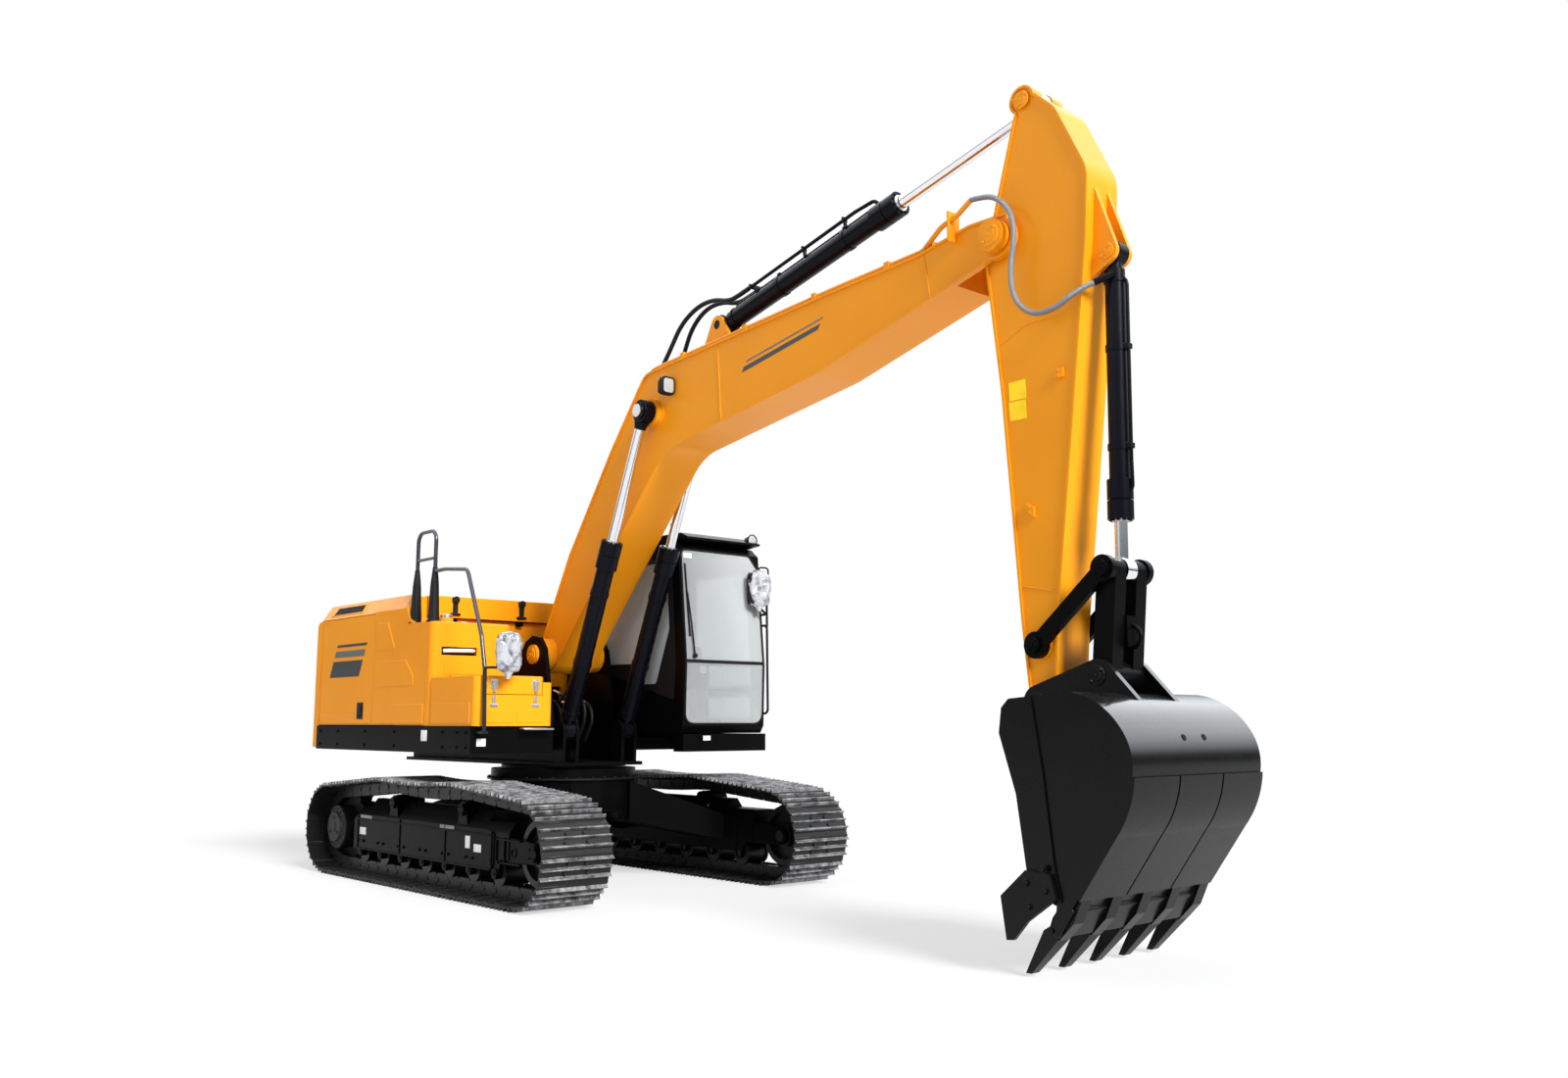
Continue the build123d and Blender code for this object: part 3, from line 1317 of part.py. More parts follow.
with BuildPart() as bucket:
    with BuildSketch(plane_at(bucket_half)) as side_view:
        with BuildLine():
            Polyline(shell_line[0], shell_line[1])
            ThreePointArc(shell_line[1], (6220, 1440), shell_line[2])
            ThreePointArc(shell_line[2], (6392, 1180), shell_line[3])
            ThreePointArc(shell_line[3], (6352, 920), shell_line[4])
            Polyline(shell_line[4], lip, lip_back, *reversed(mouth_line), shell_line[0])
        make_face()
    extrude(side_view.sketch, amount=2 * bucket_half)
    # hinge ears on the back, as deep as the shell's back plate
    for low, high in mirrored(ear_in, ear_in + ear_plate):
        hull_across(
            (
                disc(bucket_pin, 105), disc(h_link_pin, 95), (6190, 1400, 30), (5610, 1440, 30),
            ),
            low, high,
        )
    with BuildSketch(plane_at(bucket_half - bucket_plate)) as inside:
        with BuildLine():
            Polyline((5545, 1340), (5545, 1465), (5610, 1490 - bucket_plate), (6000, 1520 - bucket_plate))
            ThreePointArc((6000, 1495), (6205, 1420), (6308, 1318))
            ThreePointArc((6308, 1318), (6366, 1178), (6364, 1085))
            ThreePointArc((6364, 1085), (6328, 928), (6248, 794))
            Polyline((6248, 794), (5945, 350), (5300, 350), (5300, 1340), (5545, 1340))
        make_face()
    extrude(inside.sketch, amount=2 * (bucket_half - bucket_plate), mode=Mode.SUBTRACT)
    across(bucket_pin, 40, -ear_in - ear_plate - 12, ear_in + ear_plate + 12)
    across(h_link_pin, 38, -ear_in - ear_plate - 12, ear_in + ear_plate + 12)
    # three wear plates round the back, below its middle
    for i in range(3):
        with BuildSketch(plane_at(bucket_half - i * (wear_width + wear_gap))) as band:
            with BuildLine() as outer_line:
                ThreePointArc(shell_line[3], (6352, 920), shell_line[4])
                Line(shell_line[4], (6030, 440))
            trace(line_width=2 * wear_plate)
        extrude(band.sketch, amount=wear_width)
    # edge strips along the mouth, on the side plates
    for low, high in mirrored(bucket_half - 1, bucket_half + 12):
        slab(edge_strip, low, high)
    # lip, then the adapters and teeth
    for i in range(tooth_count):
        y = tooth_spacing * (i - (tooth_count - 1) / 2)
        slab(adapter, y - adapter_half, y + adapter_half)
        slab(tooth, y - tooth_half, y + tooth_half)
    # side cutters
    for low, high in mirrored(bucket_half + 11, bucket_half + 36):
        slab(side_cutter, low, high)
bucket.part.label = "bucket"
export_step(bucket.part, "parts/bucket.step")
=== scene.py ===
"""Looks of the crawler excavator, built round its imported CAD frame.

Metres, in the frame's axes: +X forward, +Y to the cab's side, +Z up.
"""

import json
import math

import bmesh
import bpy
from mathutils import Matrix, Vector, noise


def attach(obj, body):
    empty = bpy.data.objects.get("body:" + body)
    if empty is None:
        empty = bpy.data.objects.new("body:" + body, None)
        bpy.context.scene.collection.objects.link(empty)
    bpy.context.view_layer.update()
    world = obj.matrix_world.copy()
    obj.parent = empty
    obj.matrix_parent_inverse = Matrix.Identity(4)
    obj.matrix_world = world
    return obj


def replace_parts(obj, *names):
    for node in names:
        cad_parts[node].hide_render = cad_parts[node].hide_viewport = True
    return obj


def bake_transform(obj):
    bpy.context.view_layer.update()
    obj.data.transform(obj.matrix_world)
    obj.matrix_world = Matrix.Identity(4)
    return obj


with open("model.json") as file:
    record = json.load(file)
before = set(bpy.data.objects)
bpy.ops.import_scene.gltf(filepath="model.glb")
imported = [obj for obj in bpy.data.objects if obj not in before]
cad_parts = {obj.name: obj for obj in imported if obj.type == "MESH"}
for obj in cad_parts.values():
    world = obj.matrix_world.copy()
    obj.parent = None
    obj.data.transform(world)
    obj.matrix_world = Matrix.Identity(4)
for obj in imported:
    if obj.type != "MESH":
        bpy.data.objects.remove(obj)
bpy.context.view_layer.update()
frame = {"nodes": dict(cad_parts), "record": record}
scene = bpy.context.scene
scene.view_settings.view_transform = "Standard"
X, Y, Z = Vector((1, 0, 0)), Vector((0, 1, 0)), Vector((0, 0, 1))


def placed(name, data, place=(0, 0, 0), aim=None):
    """A new object in the scene; with aim, it looks along that direction."""
    thing = bpy.data.objects.new(name, data)
    scene.collection.objects.link(thing)
    thing.location = place
    if aim:
        thing.rotation_mode = "QUATERNION"
        thing.rotation_quaternion = Vector(aim).to_track_quat("-Z", "Y")
    return thing


# ------------------------------------------------------------------- camera

CAMERA_PLACE = (10.29, -6.428, 1.356)
CAMERA_YAW, CAMERA_PITCH = math.radians(48.61), math.radians(7.98)
CAMERA_LENS, SENSOR = 30.1, 36

camera_data = bpy.data.cameras.new("camera")
camera_data.sensor_width = SENSOR
camera_data.lens = CAMERA_LENS
camera_data.clip_end = 200
scene.camera = placed("camera", camera_data, CAMERA_PLACE, (
    -math.sin(CAMERA_YAW) * math.cos(CAMERA_PITCH),
    math.cos(CAMERA_YAW) * math.cos(CAMERA_PITCH),
    math.sin(CAMERA_PITCH),
))

# ---------------------------------------------------------------- materials


class Nodes:
    """A node tree of a material or the world, with short ways to add and join nodes."""

    def __init__(self, name, owners=bpy.data.materials, shader="Principled BSDF", output="Material Output"):
        self.owner = owners.new(name)
        self.owner.use_nodes = True
        self.tree = self.owner.node_tree
        self.shader, self.output = self.tree.nodes[shader], self.tree.nodes[output]
        coordinates = self.add("ShaderNodeTexCoord").outputs
        self.place, self.facing, self.direction = (coordinates[k] for k in ("Object", "Normal", "Generated"))

    def feed(self, socket, value):
        """Gives a socket a value, or joins another socket to it."""
        if isinstance(value, bpy.types.NodeSocket):
            self.tree.links.new(value, socket)
        else:
            socket.default_value = value

    def add(self, kind, **values):
        node = self.tree.nodes.new(kind)
        for key, value in values.items():
            if key in node.inputs:
                self.feed(node.inputs[key], value)
            else:
                setattr(node, key, value)
        return node

    def noise(self, scale, detail=3.0, rough=0.5, place=None):
        return self.add(
            "ShaderNodeTexNoise", Scale=scale, Detail=detail, Roughness=rough, Vector=place or self.place,
        ).outputs["Fac"]

    def ramp(self, value, *stops):
        """A ramp of greys; each stop is a place and a grey."""
        node = self.add("ShaderNodeValToRGB", Fac=value)
        for element, (place, grey) in zip(node.color_ramp.elements, stops):
            element.position, element.color = place, (grey, grey, grey, 1)
        return node.outputs["Color"]

    def tone(self, scale, detail):
        """Noise spread to its full range."""
        return self.ramp(self.noise(scale, detail), (0.3, 0.0), (0.7, 1.0))

    def mix(self, share, first, second):
        """A mix of two colours by a share; the first may be a socket."""
        node = self.add("ShaderNodeMix", data_type="RGBA")
        self.feed(node.inputs[0], share)
        for socket, colour in zip(node.inputs[6:8], (first, second)):
            self.feed(socket, colour if isinstance(colour, bpy.types.NodeSocket) else (*colour, 1))
        return node.outputs[2]

    def maths(self, operation, *values):
        node = self.add("ShaderNodeMath", operation=operation)
        for socket, value in zip(node.inputs, values):
            self.feed(socket, value)
        return node.outputs[0]

    def axis(self, name, source=None):
        """One coordinate of a place, or of another vector."""
        return self.add("ShaderNodeSeparateXYZ", Vector=source or self.place).outputs[name]

    def waves(self, operation, scale, turns, distortion=0.0):
        """Two families of waves, each turned its own way."""
        families = []
        for turn in turns:
            turned = self.add("ShaderNodeMapping", Vector=self.place, Rotation=turn).outputs["Vector"]
            wave = self.add("ShaderNodeTexWave", Scale=scale, Distortion=distortion, Vector=turned)
            families.append(wave.outputs["Fac"])
        return self.maths(operation, *families)

    def gloss(self, rough, scale, detail=3.0):
        """Roughness that varies a little."""
        return self.maths("ADD", rough, self.maths("MULTIPLY", self.noise(scale, detail), 0.10))

    def bump(self, height, strength, distance):
        node = self.add("ShaderNodeBump", Strength=strength, Distance=distance, Height=height)
        self.feed(self.shader.inputs["Normal"], node.outputs["Normal"])

    def blend(self, share, first, second):
        """Makes the surface a mix of two shaders."""
        node = self.add("ShaderNodeMixShader")
        for socket, value in zip(node.inputs, (share, first.outputs[0], second.outputs[0])):
            self.feed(socket, value)
        self.feed(self.output.inputs["Surface"], node.outputs[0])

    def set(self, **values):
        for key, value in values.items():
            self.feed(self.shader.inputs[key.replace("_", " ")], value)
        return self.owner


def painted(name, colour, shade, rough, coat=0.0, dust=0.0, peel=0.04, shine=0.3, coat_from=None):
    """Sprayed enamel: uneven tone, orange peel, and dust on level tops.

    With coat_from, the clear coat lies only above that height, on what faces forward."""
    n = Nodes(name)
    if coat_from:
        above = n.ramp(n.maths("SUBTRACT", n.axis("Z"), coat_from), (0.0, 0.0), (0.05, coat))
        coat = n.maths("MULTIPLY", above, n.ramp(n.axis("X", n.facing), (0.2, 0.0), (0.5, 1.0)))
    base = n.mix(n.tone(0.9, 4), colour, shade)
    if dust:
        normal = n.add("ShaderNodeNewGeometry").outputs["Normal"]
        level = n.ramp(n.axis("Z", normal), (0.55, 0.0), (0.95, 1.0))
        patches = n.ramp(n.noise(5.0, 6, 0.6), (0.35, 0.0), (0.75, dust))
        base = n.mix(n.maths("MULTIPLY", level, patches), base, (0.36, 0.33, 0.28))
    n.bump(n.noise(420.0, 2), peel, 0.002)
    return n.set(
        Base_Color=base, Roughness=n.gloss(rough, 7.0, 4), Specular_IOR_Level=shine,
        Coat_Weight=coat, Coat_Roughness=0.08,
    )


yellow_paint = painted(
    "yellow_enamel", (0.90, 0.335, 0.008), (0.84, 0.290, 0.006), 0.30, coat=0.05, dust=0.05, shine=0.16,
)
black_paint = painted(
    "black_enamel", (0.0016, 0.0016, 0.0018), (0.0030, 0.0030, 0.0032), 0.26, dust=0.02, shine=0.05,
)
cylinder_paint = painted("navy_enamel", (0.0018, 0.0019, 0.0040), (0.0028, 0.0030, 0.0062), 0.22, shine=0.10)
# the wear plates are rubbed dull; the back above them keeps its gloss
BUCKET_GLOSS_Z = 1.17
bucket_paint = painted(
    "bucket_enamel", (0.0018, 0.0018, 0.0020), (0.0040, 0.0040, 0.0043), 0.22, coat=1.0, dust=0.02,
    shine=0.17, coat_from=BUCKET_GLOSS_Z,
)
track_steel = painted(
    "track_steel", (0.0050, 0.0050, 0.0050), (0.0110, 0.0105, 0.0100), 0.30, dust=0.03, peel=0.10,
    shine=0.26,
)
hub_paint = painted(
    "hub_enamel", (0.030, 0.030, 0.031), (0.042, 0.042, 0.043), 0.4, dust=0.03, peel=0.1, shine=0.12,
)
accent_dark = painted("accent_dark", (0.030, 0.031, 0.034), (0.036, 0.037, 0.040), 0.34, coat=0.2)
accent_grey = painted("accent_grey", (0.11, 0.115, 0.12), (0.13, 0.135, 0.14), 0.36, coat=0.2)


def metal(name, colour, rough, scale):
    """Ground or plated metal, with fine scratches along one axis."""
    n = Nodes(name)
    stretched = n.add("ShaderNodeMapping", Scale=(scale, scale, scale * 8), Vector=n.place).outputs["Vector"]
    scratches = n.noise(1.0, 4, 0.6, stretched)
    base = n.mix(n.ramp(scratches, (0.3, 0.0), (0.7, 1.0)), colour, tuple(0.86 * c for c in colour))
    n.bump(scratches, 0.03, 0.001)
    gloss = n.maths("ADD", rough, n.maths("MULTIPLY", scratches, 0.08))
    return n.set(Base_Color=base, Metallic=1.0, Roughness=gloss)


chrome = metal("hard_chrome", (0.86, 0.87, 0.89), 0.06, 30)
zinc = metal("bright_zinc", (0.66, 0.67, 0.68), 0.26, 90)


def plastic(name, colour, rough, grain=900.0, strength=0.2):
    """Moulded plastic or rubber with a fine grain."""
    n = Nodes(name)
    n.bump(n.noise(grain, 3), strength, 0.001)
    base = n.mix(n.tone(6.0, 3), colour, tuple(1.35 * c for c in colour))
    return n.set(Base_Color=base, Roughness=n.gloss(rough, 25.0), Specular_IOR_Level=0.15)


trim_plastic = plastic("trim_plastic", (0.003, 0.003, 0.0033), 0.42)
grey_plastic = plastic("grey_plastic", (0.22, 0.22, 0.225), 0.5)
rubber = plastic("hose_rubber", (0.007, 0.007, 0.008), 0.45, 500.0, 0.35)
gasket = plastic("window_rubber", (0.005, 0.005, 0.0055), 0.50, 400.0, 0.3)
white_plate = plastic("blank_plate", (0.72, 0.72, 0.70), 0.35, 200.0, 0.05)
lens_glass = plastic("lamp_lens", (0.34, 0.345, 0.35), 0.12, 90.0, 0.5)
amber_plate = plastic("blank_amber_plate", (0.92, 0.62, 0.02), 0.35, 200.0, 0.05)


def film_material():
    """Thin crumpled wrapping film: milky, with sharp glints on its creases."""
    n = Nodes("wrapping_film")
    creases = n.noise(13.0, 5, 0.6)
    n.bump(creases, 0.45, 0.012)
    # the dark blue-grey patches along the crease pattern are painted shade of the film's folds
    base = n.mix(n.ramp(creases, (0.48, 0.0), (0.66, 1.0)), (0.44, 0.45, 0.475), (0.085, 0.095, 0.125))
    return n.set(Base_Color=base, Roughness=0.16, Coat_Weight=0.6, Coat_Roughness=0.05)


def sleeve_material():
    """Braided sleeve: two families of crossing strands."""
    n = Nodes("braided_sleeve")
    braid = n.waves("MAXIMUM", 75.0, ((0.9, 0.9, 0.0), (-0.9, -0.9, 0.0)), 0.6)
    n.bump(braid, 0.7, 0.002)
    # the colour is light on the strands and dark in the grooves between them: painted shade
    base = n.mix(braid, (0.07, 0.075, 0.08), (0.26, 0.27, 0.29))
    return n.set(Base_Color=base, Roughness=0.34, Metallic=0.35)


def fabric_material():
    """Woven seat cloth."""
    n = Nodes("seat_weave")
    quarter = math.pi / 2
    n.bump(n.waves("MULTIPLY", 260.0, ((0.0, 0.0, 0.0), (0.0, quarter, quarter))), 0.5, 0.001)
    base = n.mix(n.noise(12.0, 5), (0.20, 0.205, 0.21), (0.30, 0.305, 0.31))
    return n.set(Base_Color=base, Roughness=0.85, Sheen_Weight=0.3)


def glass_material():
    """Pale tinted safety glass: mostly clear; it reflects the sky, and its near-white base colour, mixed in
    more at grazing angles, is a painted reflection that makes it pale.
    """
    n = Nodes("safety_glass")
    smears = n.ramp(n.noise(3.0, 5), (0.4, 0.02), (0.8, 0.07))
    # the near-white base colour is a painted reflection of the bright sky; the specular part reflects it for
    # real
    n.set(Base_Color=(0.95, 0.97, 0.97, 1), Roughness=smears, Specular_IOR_Level=0.9)
    veil = n.add("ShaderNodeFresnel", IOR=1.45).outputs[0]
    clear = n.add("ShaderNodeBsdfTransparent", Color=(0.90, 0.92, 0.92, 1))
    # the Fresnel share, never below 0.16, sets how much of the painted reflection shows
    n.blend(n.maths("ADD", n.maths("MULTIPLY", veil, 0.9), 0.16), clear, n.shader)
    return n.owner


def rail_material():
    """Handrails: pale grey tube above, black below the bracket."""
    n = Nodes("rail_enamel")
    height = n.ramp(n.maths("DIVIDE", n.axis("Z"), 4.0), (0.455, 0.0), (0.47, 1.0))
    base = n.mix(height, (0.004, 0.004, 0.005), (0.020, 0.021, 0.032))
    n.bump(n.noise(300.0), 0.04, 0.002)
    return n.set(Base_Color=base, Roughness=n.gloss(0.24, 9.0), Coat_Weight=0.3)


def wear_and_highlight_material():
    """Grousers: paint rubbed down to scratched steel, lighter than wear alone makes it: partly wear, partly
    a painted highlight.
    """
    n = Nodes("wear_and_highlight_steel")
    rubbed = n.ramp(n.noise(11.0, 6, 0.7), (0.40, 0.0), (0.62, 1.0))
    n.bump(n.noise(160.0, 4), 0.15, 0.002)
    # the lighter grey stands partly for the bright highlights on the grousers: painted highlight
    base = n.mix(rubbed, (0.030, 0.030, 0.031), (0.30, 0.30, 0.31))
    return n.set(Base_Color=base, Roughness=0.38, Metallic=n.maths("MULTIPLY", rubbed, 0.5))


film, sleeve, fabric = film_material(), sleeve_material(), fabric_material()
glass, rails, wear_and_highlight_steel = glass_material(), rail_material(), wear_and_highlight_material()

# the record's slots: the first finish is for CAD nodes, and all are for visual pieces
SLOTS = {
    "yellow_paint": (yellow_paint,), "black_paint": (black_paint, cylinder_paint, bucket_paint),
    "chrome": (chrome, zinc), "track_steel": (track_steel, hub_paint), "cab_trim": (trim_plastic, gasket),
    "cab_glass": (glass, lens_glass), "seat_fabric": (fabric,), "hose_cover": (sleeve, rubber),
}
SLOT_OF = {finish: slot for slot, finishes in SLOTS.items() for finish in finishes}
NODE_FINISHES = {
    "boom_cylinder_barrels": cylinder_paint, "arm_cylinder_barrel": cylinder_paint,
    "bucket_cylinder_barrel": cylinder_paint, "bucket": bucket_paint, "handrails": rails,
}
for subpart in frame["record"]["subparts"]:
    finishes = frame["nodes"][subpart["node"]].data.materials
    finishes.clear()
    finishes.append(NODE_FINISHES.get(subpart["node"], SLOTS[subpart["material_slot"]][0]))

# ------------------------------------------------------------ mesh building


def circle(middle, across, other, radius, sides):
    """Points round a middle, in the plane of two directions."""
    angles = [2 * math.pi * i / sides for i in range(sides)]
    return [middle + radius * (math.cos(a) * across + math.sin(a) * other) for a in angles]


def span(face, sign, low, high):
    """Two values of y outward from a face, in rising order."""
    return sorted((face + sign * low, face + sign * high))


class Shape:
    """Collects plates, bars and tubes into one mesh, then rides it on a body."""

    def __init__(self):
        self.mesh = bmesh.new()

    def loft(self, rings):
        """A closed solid through rings of as many points."""
        loops = [[self.mesh.verts.new(p) for p in ring] for ring in rings]
        self.mesh.faces.new(reversed(loops[0]))
        self.mesh.faces.new(loops[-1])
        for here, there in zip(loops, loops[1:]):
            for i in range(len(here)):
                j = (i + 1) % len(here)
                self.mesh.faces.new((here[i], here[j], there[j], there[i]))
        return self

    def prism(self, ring, offset):
        """A closed solid between a ring of points and the same ring moved by an offset."""
        return self.loft((ring, [Vector(p) + Vector(offset) for p in ring]))

    def box(self, x, y, z):
        """A box between pairs of limits."""
        corners = ((x[0], y[0]), (x[1], y[0]), (x[1], y[1]), (x[0], y[1]))
        return self.prism([(*corner, z[0]) for corner in corners], (0, 0, z[1] - z[0]))

    def side(self, outline, low, high):
        """A plate in the X-Z plane, between two values of y."""
        return self.prism([(x, low, z) for x, z in outline], (0, high - low, 0))

    def rod(self, start, end, radius, sides=24, end_radius=None):
        """A round bar or cone between two points."""
        start, end = Vector(start), Vector(end)
        across = (end - start).normalized().orthogonal().normalized()
        other = (end - start).normalized().cross(across)
        return self.loft((
            circle(start, across, other, radius, sides),
            circle(end, across, other, radius if end_radius is None else end_radius, sides),
        ))

    def stub(self, x, z, face, sign, low, high, radius, sides=24, end_radius=None):
        """A round bar along Y, outward from a face."""
        return self.rod((x, face + sign * low, z), (x, face + sign * high, z), radius, sides, end_radius)

    def ring(self, centre, axis, radius, thickness, width, sides=40):
        """A flat ring or collar about an axis."""
        axis = Vector(axis).normalized()
        across = axis.orthogonal().normalized()
        inner = radius - thickness
        corners = ((inner, 0), (radius, 0), (radius, width), (inner, width))
        loops = [
            [self.mesh.verts.new(Vector(centre) + r * out + w * axis) for r, w in corners]
            for out in circle(Vector(), across, axis.cross(across), 1, sides)
        ]
        for here, there in zip(loops, loops[1:] + loops[:1]):
            for k in range(4):
                m = (k + 1) % 4
                self.mesh.faces.new((here[k], there[k], there[m], here[m]))
        return self

    def bolt(self, place, axis, size=0.012):
        """A hexagon head on a washer."""
        place, axis = Vector(place), Vector(axis).normalized()
        seat = place + axis * size * 0.25
        return self.rod(place, seat, size * 1.25, 16).rod(seat, place + axis * size * 1.05, size, 6)

    def bolts(self, centre, axis, reach, count, size, turn=0.0, across=X, other=Z):
        """A circle of bolts."""
        for i in range(count):
            a = turn + 2 * math.pi * i / count
            self.bolt(Vector(centre) + reach * (math.cos(a) * across + math.sin(a) * other), axis, size)
        return self

    def pin_cap(self, x, z, y, sign, radius):
        """A pin's end: a flanged cap, its retaining plate and two bolts."""
        self.stub(x, z, y, sign, 0, 0.010, radius).stub(x, z, y, sign, 0.008, 0.014, radius * 0.62)
        self.stub(x, z, y, sign, 0.012, 0.022, 0.008, 12)
        return self.bolts((x, y + sign * 0.009, z), sign * Y, radius * 0.78, 2, 0.011, math.pi / 4)

    def tube(self, points, radius, sides=12, bend=0.0):
        """A round tube along a polyline, with arcs at its corners."""
        return self.sweep(rounded(points, bend) if bend else points, radius, sides)

    def sweep(self, path, radius, sides=12, ripple=0.0):
        """A round bar along a path; its radius may ripple, as a weld's does."""
        path = [Vector(p) for p in path]
        return self.loft([
            circle(middle, across, other, radius * (1 + ripple * math.sin(i * 1.9)), sides)
            for i, (middle, (across, other)) in enumerate(zip(path, transported(path)))
        ])

    def done(self, name, material, body, slot=None, bevel=0.0, segments=2, angle=32):
        """Makes the object. Sharp edges are rounded by bevel, and gentle ones shaded smooth."""
        bmesh.ops.recalc_face_normals(self.mesh, faces=self.mesh.faces)
        data = bpy.data.meshes.new(name)
        self.mesh.to_mesh(data)
        self.mesh.free()
        piece = placed(name, data)
        data.materials.append(material)
        if bevel:
            rounding = piece.modifiers.new("edges", "BEVEL")
            rounding.width = bevel
            rounding.segments = segments
            rounding.limit_method = "ANGLE"
            rounding.angle_limit = math.radians(angle)
        data.polygons.foreach_set("use_smooth", [True] * len(data.polygons))
        data.set_sharp_from_angle(angle=math.radians(angle))
        if body:
            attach(piece, body)
        slot = slot or SLOT_OF.get(material)
        return piece


def rounded(points, radius):
    """A polyline whose corners are arcs."""
    steps = 5
    points = [Vector(p) for p in points]
    path = [points[0]]
    for before, corner, after in zip(points, points[1:], points[2:]):
        into, out = (corner - before).normalized(), (after - corner).normalized()
        half = into.angle(out) / 2
        if half < 0.01:
            path.append(corner)
            continue
        reach = min(radius * math.tan(half), 0.49 * (corner - before).length, 0.49 * (after - corner).length)
        r = reach / math.tan(half)
        inward = (out - into * into.dot(out)).normalized()
        centre = corner - into * reach + inward * r
        turns = [2 * half * i / steps for i in range(steps + 1)]
        path += [centre - inward * r * math.cos(a) + into * r * math.sin(a) for a in turns]
    return path + [points[-1]]


def transported(path):
    """Two directions across each point of a path, turned as little as possible along it."""
    across = (path[1] - path[0]).orthogonal().normalized()
    frames = []
    for i in range(len(path)):
        run = (path[min(i + 1, len(path) - 1)] - path[max(i - 1, 0)]).normalized()
        across = (across - run * across.dot(run)).normalized()
        frames.append((across, run.cross(across)))
    return frames


def spline_points(points):
    """Points read from a smooth curve whose control points are given."""
    curve = bpy.data.curves.new("route", "CURVE")
    curve.dimensions = "3D"
    line = curve.splines.new("NURBS")
    line.points.add(len(points) - 1)
    for target, point in zip(line.points, points):
        target.co = (*point, 1)
    line.order_u = 3
    line.use_endpoint_u = True
    line.resolution_u = 10
    holder = bpy.data.objects.new("route", curve)
    mesh = bpy.data.meshes.new_from_object(holder)
    path = [vertex.co.copy() for vertex in mesh.vertices]
    bpy.data.objects.remove(holder)
    bpy.data.meshes.remove(mesh)
    return path


def boxes(name, material, limits, body, bevel=0.0, segments=1):
    """One piece of plain boxes, each by its limits in x, y and z."""
    shape = Shape()
    for box in limits:
        shape.box(*box)
    return shape.done(name, material, body, bevel=bevel, segments=segments)

# --------------------------------------------------------------------- hose

HOSE = 0.035
PIPE_END = (5.075, -0.238, 4.668)
HOSE_ROUTE = (
    PIPE_END, (5.150, -0.240, 4.660), (5.270, -0.245, 4.630), (5.395, -0.250, 4.510), (5.430, -0.250, 4.330),
    (5.385, -0.250, 4.130), (5.400, -0.248, 3.930), (5.530, -0.242, 3.795), (5.705, -0.235, 3.795),
    (5.835, -0.210, 3.880), (5.915, -0.140, 3.925),
)
hose_path = spline_points(HOSE_ROUTE)
arm_hose = Shape().sweep(hose_path, HOSE / 2, 20).done("arm_hose_sleeve", sleeve, None)
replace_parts(arm_hose, "arm_hose")
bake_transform(arm_hose)

# ------------------------------------------------------------------- tracks

LINK_PITCH, LINK_COUNT, TEETH = 0.19, 47, 21
CHAIN_RADIUS = LINK_PITCH * TEETH / (4 * math.pi)
TUMBLER_DISTANCE = (LINK_COUNT * LINK_PITCH - 2 * math.pi * CHAIN_RADIUS) / 2
RAIL_INSIDE, SHOE_SEAT, SHOE_PLATE, GROUSER = 0.055, 0.052, 0.010, 0.026
AXLE_Z = CHAIN_RADIUS + SHOE_SEAT + SHOE_PLATE + GROUSER
IDLER_X = TUMBLER_DISTANCE / 2 + 0.012
SPROCKET_X = IDLER_X - TUMBLER_DISTANCE
TRACK_MIDDLE = (IDLER_X + SPROCKET_X) / 2
CARRIER_HALF, CARRIER_LIFT, CARRIER_SAG = 0.62, 0.085, 0.025
TRACK_Y, SHOE_HALF, RAIL_Y, RAIL_HALF = 1.19, 0.30, 0.075, 0.021
SIDES = (("left", 1), ("right", -1))


def chain_pin(s):
    """The chain's pin line at a distance from under the sprocket, as in the CAD source."""
    half_turn = math.pi * CHAIN_RADIUS
    s %= LINK_COUNT * LINK_PITCH
    if s < TUMBLER_DISTANCE:
        return Vector((SPROCKET_X + s, 0, AXLE_Z - CHAIN_RADIUS))
    s -= TUMBLER_DISTANCE
    if s < half_turn:
        turn = s / CHAIN_RADIUS
        return Vector((IDLER_X + CHAIN_RADIUS * math.sin(turn), 0, AXLE_Z - CHAIN_RADIUS * math.cos(turn)))
    s -= half_turn
    if s < TUMBLER_DISTANCE:
        from_middle = abs(IDLER_X - s - TRACK_MIDDLE)
        if from_middle < CARRIER_HALF:
            lift = CARRIER_LIFT - CARRIER_SAG * (1 - (from_middle / CARRIER_HALF) ** 2)
        else:
            reach = TUMBLER_DISTANCE / 2
            lift = CARRIER_LIFT * (reach - from_middle) / (reach - CARRIER_HALF)
        return Vector((IDLER_X - s, 0, AXLE_Z + CHAIN_RADIUS + lift))
    turn = (s - TUMBLER_DISTANCE) / CHAIN_RADIUS
    return Vector((SPROCKET_X - CHAIN_RADIUS * math.sin(turn), 0, AXLE_Z + CHAIN_RADIUS * math.cos(turn)))


# a shoe and a link in section: share of the pitch, and distance out from the pins
PLATE_TOP, GROUSER_TOP = SHOE_SEAT + SHOE_PLATE, SHOE_SEAT + SHOE_PLATE + GROUSER
LIP = SHOE_SEAT - 0.009
SHOE_OUTLINE = (
    (-0.150, LIP), (-0.150, LIP + 0.006), (0.045, LIP + 0.008), (0.075, PLATE_TOP),
    (0.095, PLATE_TOP), (0.125, GROUSER_TOP), (0.165, GROUSER_TOP), (0.23, PLATE_TOP),
    (0.455, PLATE_TOP), (0.49, GROUSER_TOP), (0.53, GROUSER_TOP), (0.575, PLATE_TOP),
    (0.785, PLATE_TOP), (0.83, GROUSER_TOP), (0.87, GROUSER_TOP), (0.92, PLATE_TOP),
    (1.020, PLATE_TOP), (1.032, PLATE_TOP - 0.004), (1.032, SHOE_SEAT + 0.001), (0.10, SHOE_SEAT),
    (0.07, LIP),
)
